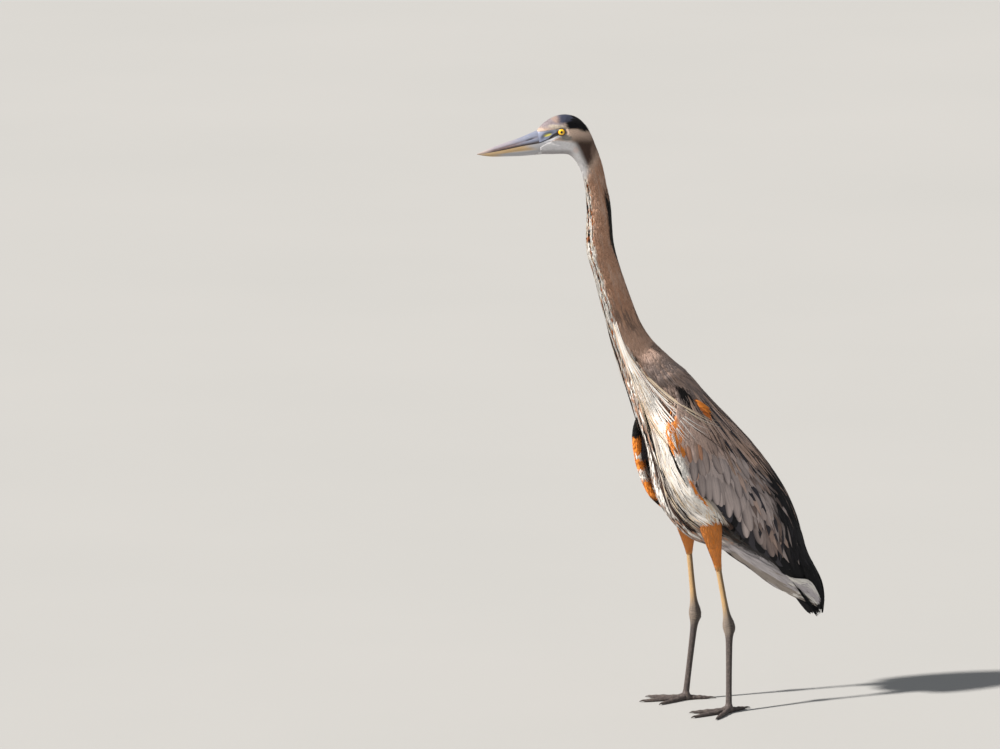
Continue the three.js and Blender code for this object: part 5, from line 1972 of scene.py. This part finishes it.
def bend_tint(side, form):
    """A tint for a roll: the markings of its edge, and dark where it turns in towards the breast."""

    def tint(along, around):
        place = form.at(along, around)
        tone = BEND_TONES[side](place[:, 0], place[:, 2], DICE.random(len(along)))
        inner = (through(form.rows, along)[:, 1] - place[:, 1]) * side
        return over(tone, STREAK_BLACK, 0.9 * smooth(inner, *BEND_SHADE[side]))

    return tint


bend_coat = Coat("wing_bend_feathers", "rufous_plumage")
for side, form in bends.items():
    roots = rows_of_roots(form, 1.0, form.last - 0.05, 3.4, 2.8)
    count = len(roots[0])
    lay(
        bend_coat, form, roots, DICE.uniform(17, 28, count), DICE.uniform(1.5, 2.4, count), body_course,
        bend_tint(side, form), BEND_SPAN, BAND[side], rise=(-1.6, 0.4), sway=8, crown=0.1, thick=0.12,
        shades=(0.88, 1.08), root_down_and_shade=0.12,
    )
bend_coat.make(soft_plumage)

# %% Thigh feathers
THIGH_SPAN = (-0.2, 7.2)
thigh_coat = Coat("thigh_feathers", "rufous_plumage")


def thigh_tint(along, around):
    """Rufous, paler where the feathers end on the shank."""
    tone = one_tint(THIGH_RUFOUS, THIGH_RUFOUS, THIGH_RUFOUS, CHESTNUT)(along, around)
    return over(tone, BARE_TAN, 0.7 * smooth(along, 5.0, 6.0))


for side, form in thighs.items():
    roots = rows_of_roots(form, 0.02, form.last - 0.08, 2.3, 1.9)
    kept = DICE.random(len(roots[0])) > 0.75 * smooth(roots[0], form.last - 0.9, form.last)
    roots = only(roots, kept)
    lay(
        thigh_coat, form, roots, varied(roots[0], [0, 4, 6], [22, 17, 12], 0.85, 1.2),
        np.interp(roots[0], [0, 4, 6], [1.4, 1.15, 0.85]), body_course, thigh_tint, THIGH_SPAN, BAND[side],
        steps=3, rise=(-1.6, 0.15), ruffle=0.08, crown=0.07, thick=0.08, shades=(0.93, 1.05), root_down_and_shade=0.1,
    )
thigh_coat.make(soft_plumage)

# %% [markdown]
# ## Plumes of the breast and belly
# The long plumes hang in bundles from the foot of the neck, over the bend of the wing and round the belly.
# A bundle is drawn as two border lines on the side view. Each plume keeps its own share between the two,
# wanders a little more towards its tip, and is draped over the bird with the height map.

# %% Plume bundles
PLUME_STEPS = 12
FAR_EDGE_CLEAR = 15  # no plume comes within so many millimetres of the right wing's edge,
FAR_EDGE_TOP = 625  # below this height
PARTS = {part: Coat(f"{part}_plumes", "trunk_plumage") for part in ("breast", "belly")}


def bundle(side, borders, count, reach, half, colours, lift=1.2, stray=3.0, outline="plume", part="breast"):
    """Plumes between two border lines. reach is the share of the bundle that each plume spans."""
    first, second = borders
    spans = DICE.uniform(*reach, count)
    start = DICE.uniform(0, 1, count) ** 0.9 * (1 - spans)
    stop = start + spans
    t = shares_of(PLUME_STEPS)
    place = lerp(start[:, None], stop[:, None], t[None]) * (len(first) - 1)
    share = DICE.uniform(0, 1, count)[:, None, None]
    line = lerp(through(first, place), through(second, place), share)
    away = unit(through(second, place) - through(first, place) + 1e-3)
    line = line + away * (DICE.normal(0, stray, count)[:, None] * t[None] ** 2)[..., None]
    path = np.stack([line[..., 0], np.full(line.shape[:2], 0.5 * side), line[..., 1]], -1)
    rise = lerp(-3.0, lift, t**0.5)[None] + DICE.uniform(0, 1.2, count)[:, None] * t[None]
    path, out = drape(path, np.full((count, 1), side), 0.0)
    path = path + out * rise[..., None]
    halves = DICE.uniform(*half, count)
    length = np.linalg.norm(np.diff(path, axis=1), axis=-1).sum(1)
    if side < 0:  # no plume crosses the front edge of the right wing, which stands clear of the breast
        near_edge = behind_edge(side, path[..., 0], path[..., 2]) < FAR_EDGE_CLEAR
        kept = ~(near_edge & (path[..., 2] < FAR_EDGE_TOP)).any(1)
        path, out, halves, length, start, share = only((path, out, halves, length, start, share), kept)
        count = int(kept.sum())
    points, u, t = vanes(path, out, halves, outline, 3, 0.15, 0.2)
    spread = share[:, 0, 0]
    chance = spread + 0.03 * np.sin(start * 9 + spread * 20) + DICE.normal(0, 0.025, count)
    # Plumes of one colour hang together, but for some odd ones.
    chance = np.where(DICE.random(count) < ODD_PLUMES, DICE.random(count), chance)
    tone = np.array(colours)[np.clip(chance * len(colours), 0, len(colours) - 1).astype(int)]
    tone = tone * DICE.uniform(0.92, 1.05, (count, 1))
    across = find_on(spine, path[:, 0, 0], path[:, 0, 2], side)
    places = unwrap(*across, (HEAD_END, spine.last), BAND[side])
    PARTS[part].add(points, u, t, dress(tone, u, t, 0.15), halves, length, places)


BREAST = (
    [(222, 842), (199, 776), (180, 738), (157, 698), (137, 652), (124, 608), (114, 572), (99, 536)],
    [(229, 836), (207, 772), (192, 735), (177, 695), (158, 652), (138, 604), (114, 562), (84, 524)],
)
WISPS = (
    [(186, 748), (142, 700), (92, 652), (42, 616), (0, 592)],
    [(180, 730), (148, 674), (121, 626), (98, 590), (74, 570)],
)
CHEST = (
    [(202, 770), (186, 722), (167, 672), (153, 622), (140, 575), (127, 535)],
    [(206, 770), (192, 735), (176, 690), (160, 645), (145, 600), (132, 560)],
)
BELLY = (
    [(146, 656), (124, 576), (103, 516), (76, 470), (42, 434), (4, 404)],
    [(160, 652), (142, 580), (124, 516), (106, 456), (74, 404), (18, 358)],
)
FLANK = (
    [(122, 560), (104, 510), (78, 468), (48, 438), (22, 416), (6, 404)],
    [(127, 552), (111, 500), (88, 454), (58, 418), (26, 396), (8, 386)],
)
UNDERTAIL = (
    [(-31, 350), (-75, 320), (-123, 295), (-185, 257), (-229, 246), (-262, 200)],
    [(-40, 320), (-100, 284), (-155, 242), (-198, 218), (-230, 202), (-258, 184)],
)
TAIL_WHITE = (
    [(-150, 278), (-192, 256), (-232, 246), (-262, 204)],
    [(-165, 236), (-200, 217), (-230, 202), (-258, 186)],
)
SHOULDER_SPOT = ([(54, 662), (36, 650), (14, 630)], [(42, 636), (30, 625), (16, 611)])
FRINGE = ([(66, 472), (44, 430), (24, 396)], [(34, 456), (6, 420), (-18, 388)])
# black plumes laid as painted shadow in the gap between the near wing's bend and the breast
SHADOW_GAP_PLUMES = ([(120, 588), (115, 566), (107, 545)], [(127, 584), (121, 562), (112, 540)])
DARK_WISP = ([(94, 626), (45, 589), (5, 558), (-20, 535)], [(93, 624), (44, 587), (4, 556), (-21, 533)])
FAR_BREAST = tuple(border[:5] for border in BREAST)
# Colours across a bundle, from its rear border to its front one.
WHITES = (WHITE, WHITE, WHITE, CREAM)
CHEST_BANDS = (BELLY_GREY, TAUPE, TAUPE, BELLY_GREY, STREAK_BLACK)
BELLY_BANDS = (WHITE, WHITE, WHITE, CREAM, STREAK_BLACK, WHITE, WHITE, CREAM, BELLY_GREY, STREAK_BLACK)
BELLY_BANDS += (CREAM, BELLY_GREY, BELLY_GREY, STREAK_BLACK, BELLY_GREY, CREAM, BELLY_GREY, NAPE_BROWN)
BREAST_BANDS = (TAUPE_PALE, WHITE, TAUPE, CREAM, WHITE, WHITE, STREAK_BLACK, WHITE, WHITE, CREAM, WHITE)
BREAST_BANDS += (TAUPE, WHITE, WHITE, STREAK_BLACK, CREAM, WHITE, TAUPE_PALE)
FRINGE_BANDS = (WHITE, CREAM, WHITE, BELLY_GREY)
# The near side has more plumes than the far one: breast, its fine hairs, wisps and their fine hairs.
COUNTS = {LEFT: (330, 150, 12, 12), RIGHT: (150, 80, 5, 3)}
for side, breast in ((LEFT, BREAST), (RIGHT, FAR_BREAST)):
    plumes, hairs, wisps, wisp_hairs = COUNTS[side]
    bundle(side, CHEST, 190, (0.3, 0.6), (1.2, 2.4), CHEST_BANDS, 0.6)
    bundle(side, BELLY, 300, (0.25, 0.6), (1.4, 3.0), BELLY_BANDS, 0.6, 3.5, part="belly")
    bundle(side, BELLY, 130, (0.3, 0.6), (0.6, 1.1), (WHITE, WHITE, STREAK_BLACK), 1.4, 5.0, "hair", "belly")
    bundle(side, FLANK, 60, (0.3, 0.6), (1.5, 2.6), WHITES, 1.4, 5.0, part="belly")
    bundle(side, breast, plumes, (0.25, 0.55), (1.3, 2.6), BREAST_BANDS, 1.0)
    bundle(side, breast, hairs, (0.3, 0.6), (0.5, 0.9), WHITES, 2.4, 6.0, "hair")
    bundle(side, WISPS, wisps, (0.45, 0.95), (1.0, 1.8), (CREAM, WHITE, WHITE), 2.4, 16.0)
    bundle(side, WISPS, wisp_hairs, (0.3, 0.85), (0.45, 0.8), (CREAM, WHITE, TAUPE_PALE), 2.8, 16.0, "hair")
    bundle(side, UNDERTAIL, 170, (0.2, 0.36), (2.2, 4.2), (PANEL_GREY, BELLY_GREY), 0.8, 2.0, part="belly")
    bundle(side, TAIL_WHITE, 80, (0.3, 0.5), (2.2, 4.0), (WHITE, PANEL_GREY, WHITE), 1.4, 3.0, part="belly")
    bundle(side, SHOULDER_SPOT, 46, (0.45, 0.8), (1.5, 2.4), (CHESTNUT, CHESTNUT, RUST), 2.2, 3.0)
    bundle(side, FRINGE, 70, (0.35, 0.75), (0.9, 1.9), FRINGE_BANDS, 1.6, 5.0, part="belly")
bundle(LEFT, SHADOW_GAP_PLUMES, 14, (0.5, 0.9), (1.2, 2.0), (STREAK_BLACK,), 2.0, 1.0)
bundle(LEFT, DARK_WISP, 2, (0.9, 1.0), (0.5, 0.6), (STREAK_BLACK,), 3.0, 0.5, "hair")
for plume_coat in PARTS.values():
    plume_coat.make(soft_plumage)

# %% [markdown]
# ## Tail and the underside of the wings
# Twelve tail feathers lie in a low arch, the middle pair on top. Under the wings short feathers, slate and
# mostly black as painted shade, line the pads, so that nothing looks bare from in front or below.

# %% Tail
TAIL_ROOT = np.array([-128.0, 0.0, 372.0])
TAIL_TIP = np.array([-268.0, 0.0, 172.0])
TAIL_COUNT = 12
TAIL_STEPS = 16
tail_coat = Coat("tail_feathers", "tail_plumage")
order = np.linspace(-1, 1, TAIL_COUNT)[np.argsort(-np.abs(np.linspace(-1, 1, TAIL_COUNT)), kind="stable")]
tail_way = unit(TAIL_TIP - TAIL_ROOT)
tail_up = np.array([tail_way[2], 0.0, -tail_way[0]])
t = shares_of(TAIL_STEPS)
line = TAIL_ROOT + (TAIL_TIP - TAIL_ROOT) * t[:, None]
spread = lerp(10.0, 16.0, t)
path = line[None] + (order[:, None] * spread)[..., None] * np.array([0.0, 1.0, 0.0])
arch = -11.0 * np.abs(order[:, None]) ** 1.6 * lerp(0.6, 1.0, t) - 0.35 * np.arange(TAIL_COUNT)[::-1][:, None]
path = path + arch[..., None] * tail_up
path = path - (6.0 * np.abs(order[:, None]) * t**2)[..., None] * tail_way
out = unit(tail_up + (order[:, None] * 0.7)[..., None] * np.array([0.0, 1.0, 0.0]))
out = np.broadcast_to(out, path.shape)
tail_half = np.full(TAIL_COUNT, 10.5)
points, u, t = vanes(path, out, tail_half, "quill", 7, 0.1, 0.5)
tone = flat(QUILL_BLACK, order) * DICE.uniform(0.8, 1.5, (TAIL_COUNT, 1))
places = unwrap(np.full(TAIL_COUNT, 27.0), np.linspace(-1, 1, TAIL_COUNT), BODY_SPAN)
tail_length = np.full(TAIL_COUNT, 240.0)
tail_coat.add(points, u, t, dress(tone, u, t, 0.2), tail_half, tail_length, places)
tail_coat.make(vane_plumage)


# %% Under the wings
class WingLining:
    """The mantle's inner side, which looks towards the body."""

    def __init__(self, surface, depths):
        self.surface, self.depths = surface, depths
        self.last = surface.last

    def at(self, along, around, depth=0.0):
        inner = np.interp(along, *self.depths)
        return self.surface.at(along, around, inner - depth)


LINING_CLEAR = {LEFT: 8, RIGHT: 19}  # how far behind the wing's front edge the lining starts, in millimetres
lining = WingLining(mantle, ([0, 6, 9, 11, 13], [17.5, 15.5, 11.5, 8, 4]))
lining_coat = Coat("underwing_feathers", "wing_plumage")
for side in (LEFT, RIGHT):
    roots = rows_of_roots(lining, 1.0, 11.5, 12.0, 9.0, arc=one_side(side, 0.9, 2.4))
    reach = np.interp(roots[0], EDGE_ROWS, WING_EDGES[side])
    within = (np.abs(roots[1]) < reach * 0.92) & (np.abs(roots[1]) > reach * 0.4)
    x, _, z = lining.at(*roots).T
    within &= behind_edge(side, x, z) > LINING_CLEAR[side]
    roots = only(roots, within)
    count = len(roots[0])
    lay(
        lining_coat, lining, roots, DICE.uniform(30, 42, count), DICE.uniform(6.0, 8.0, count), wing_course,
        # mostly black: painted shade under the folded wings
        one_tint(QUILL_SLATE, STREAK_BLACK, STREAK_BLACK, STREAK_BLACK), WING_SPAN, BAND[side], steps=5,
        outline="round", rise=(-2.0, 0.2), crown=0.15,
    )
lining_coat.make(covert_plumage)
print("whole coat:", sum(COAT_TRIANGLES), "triangles")
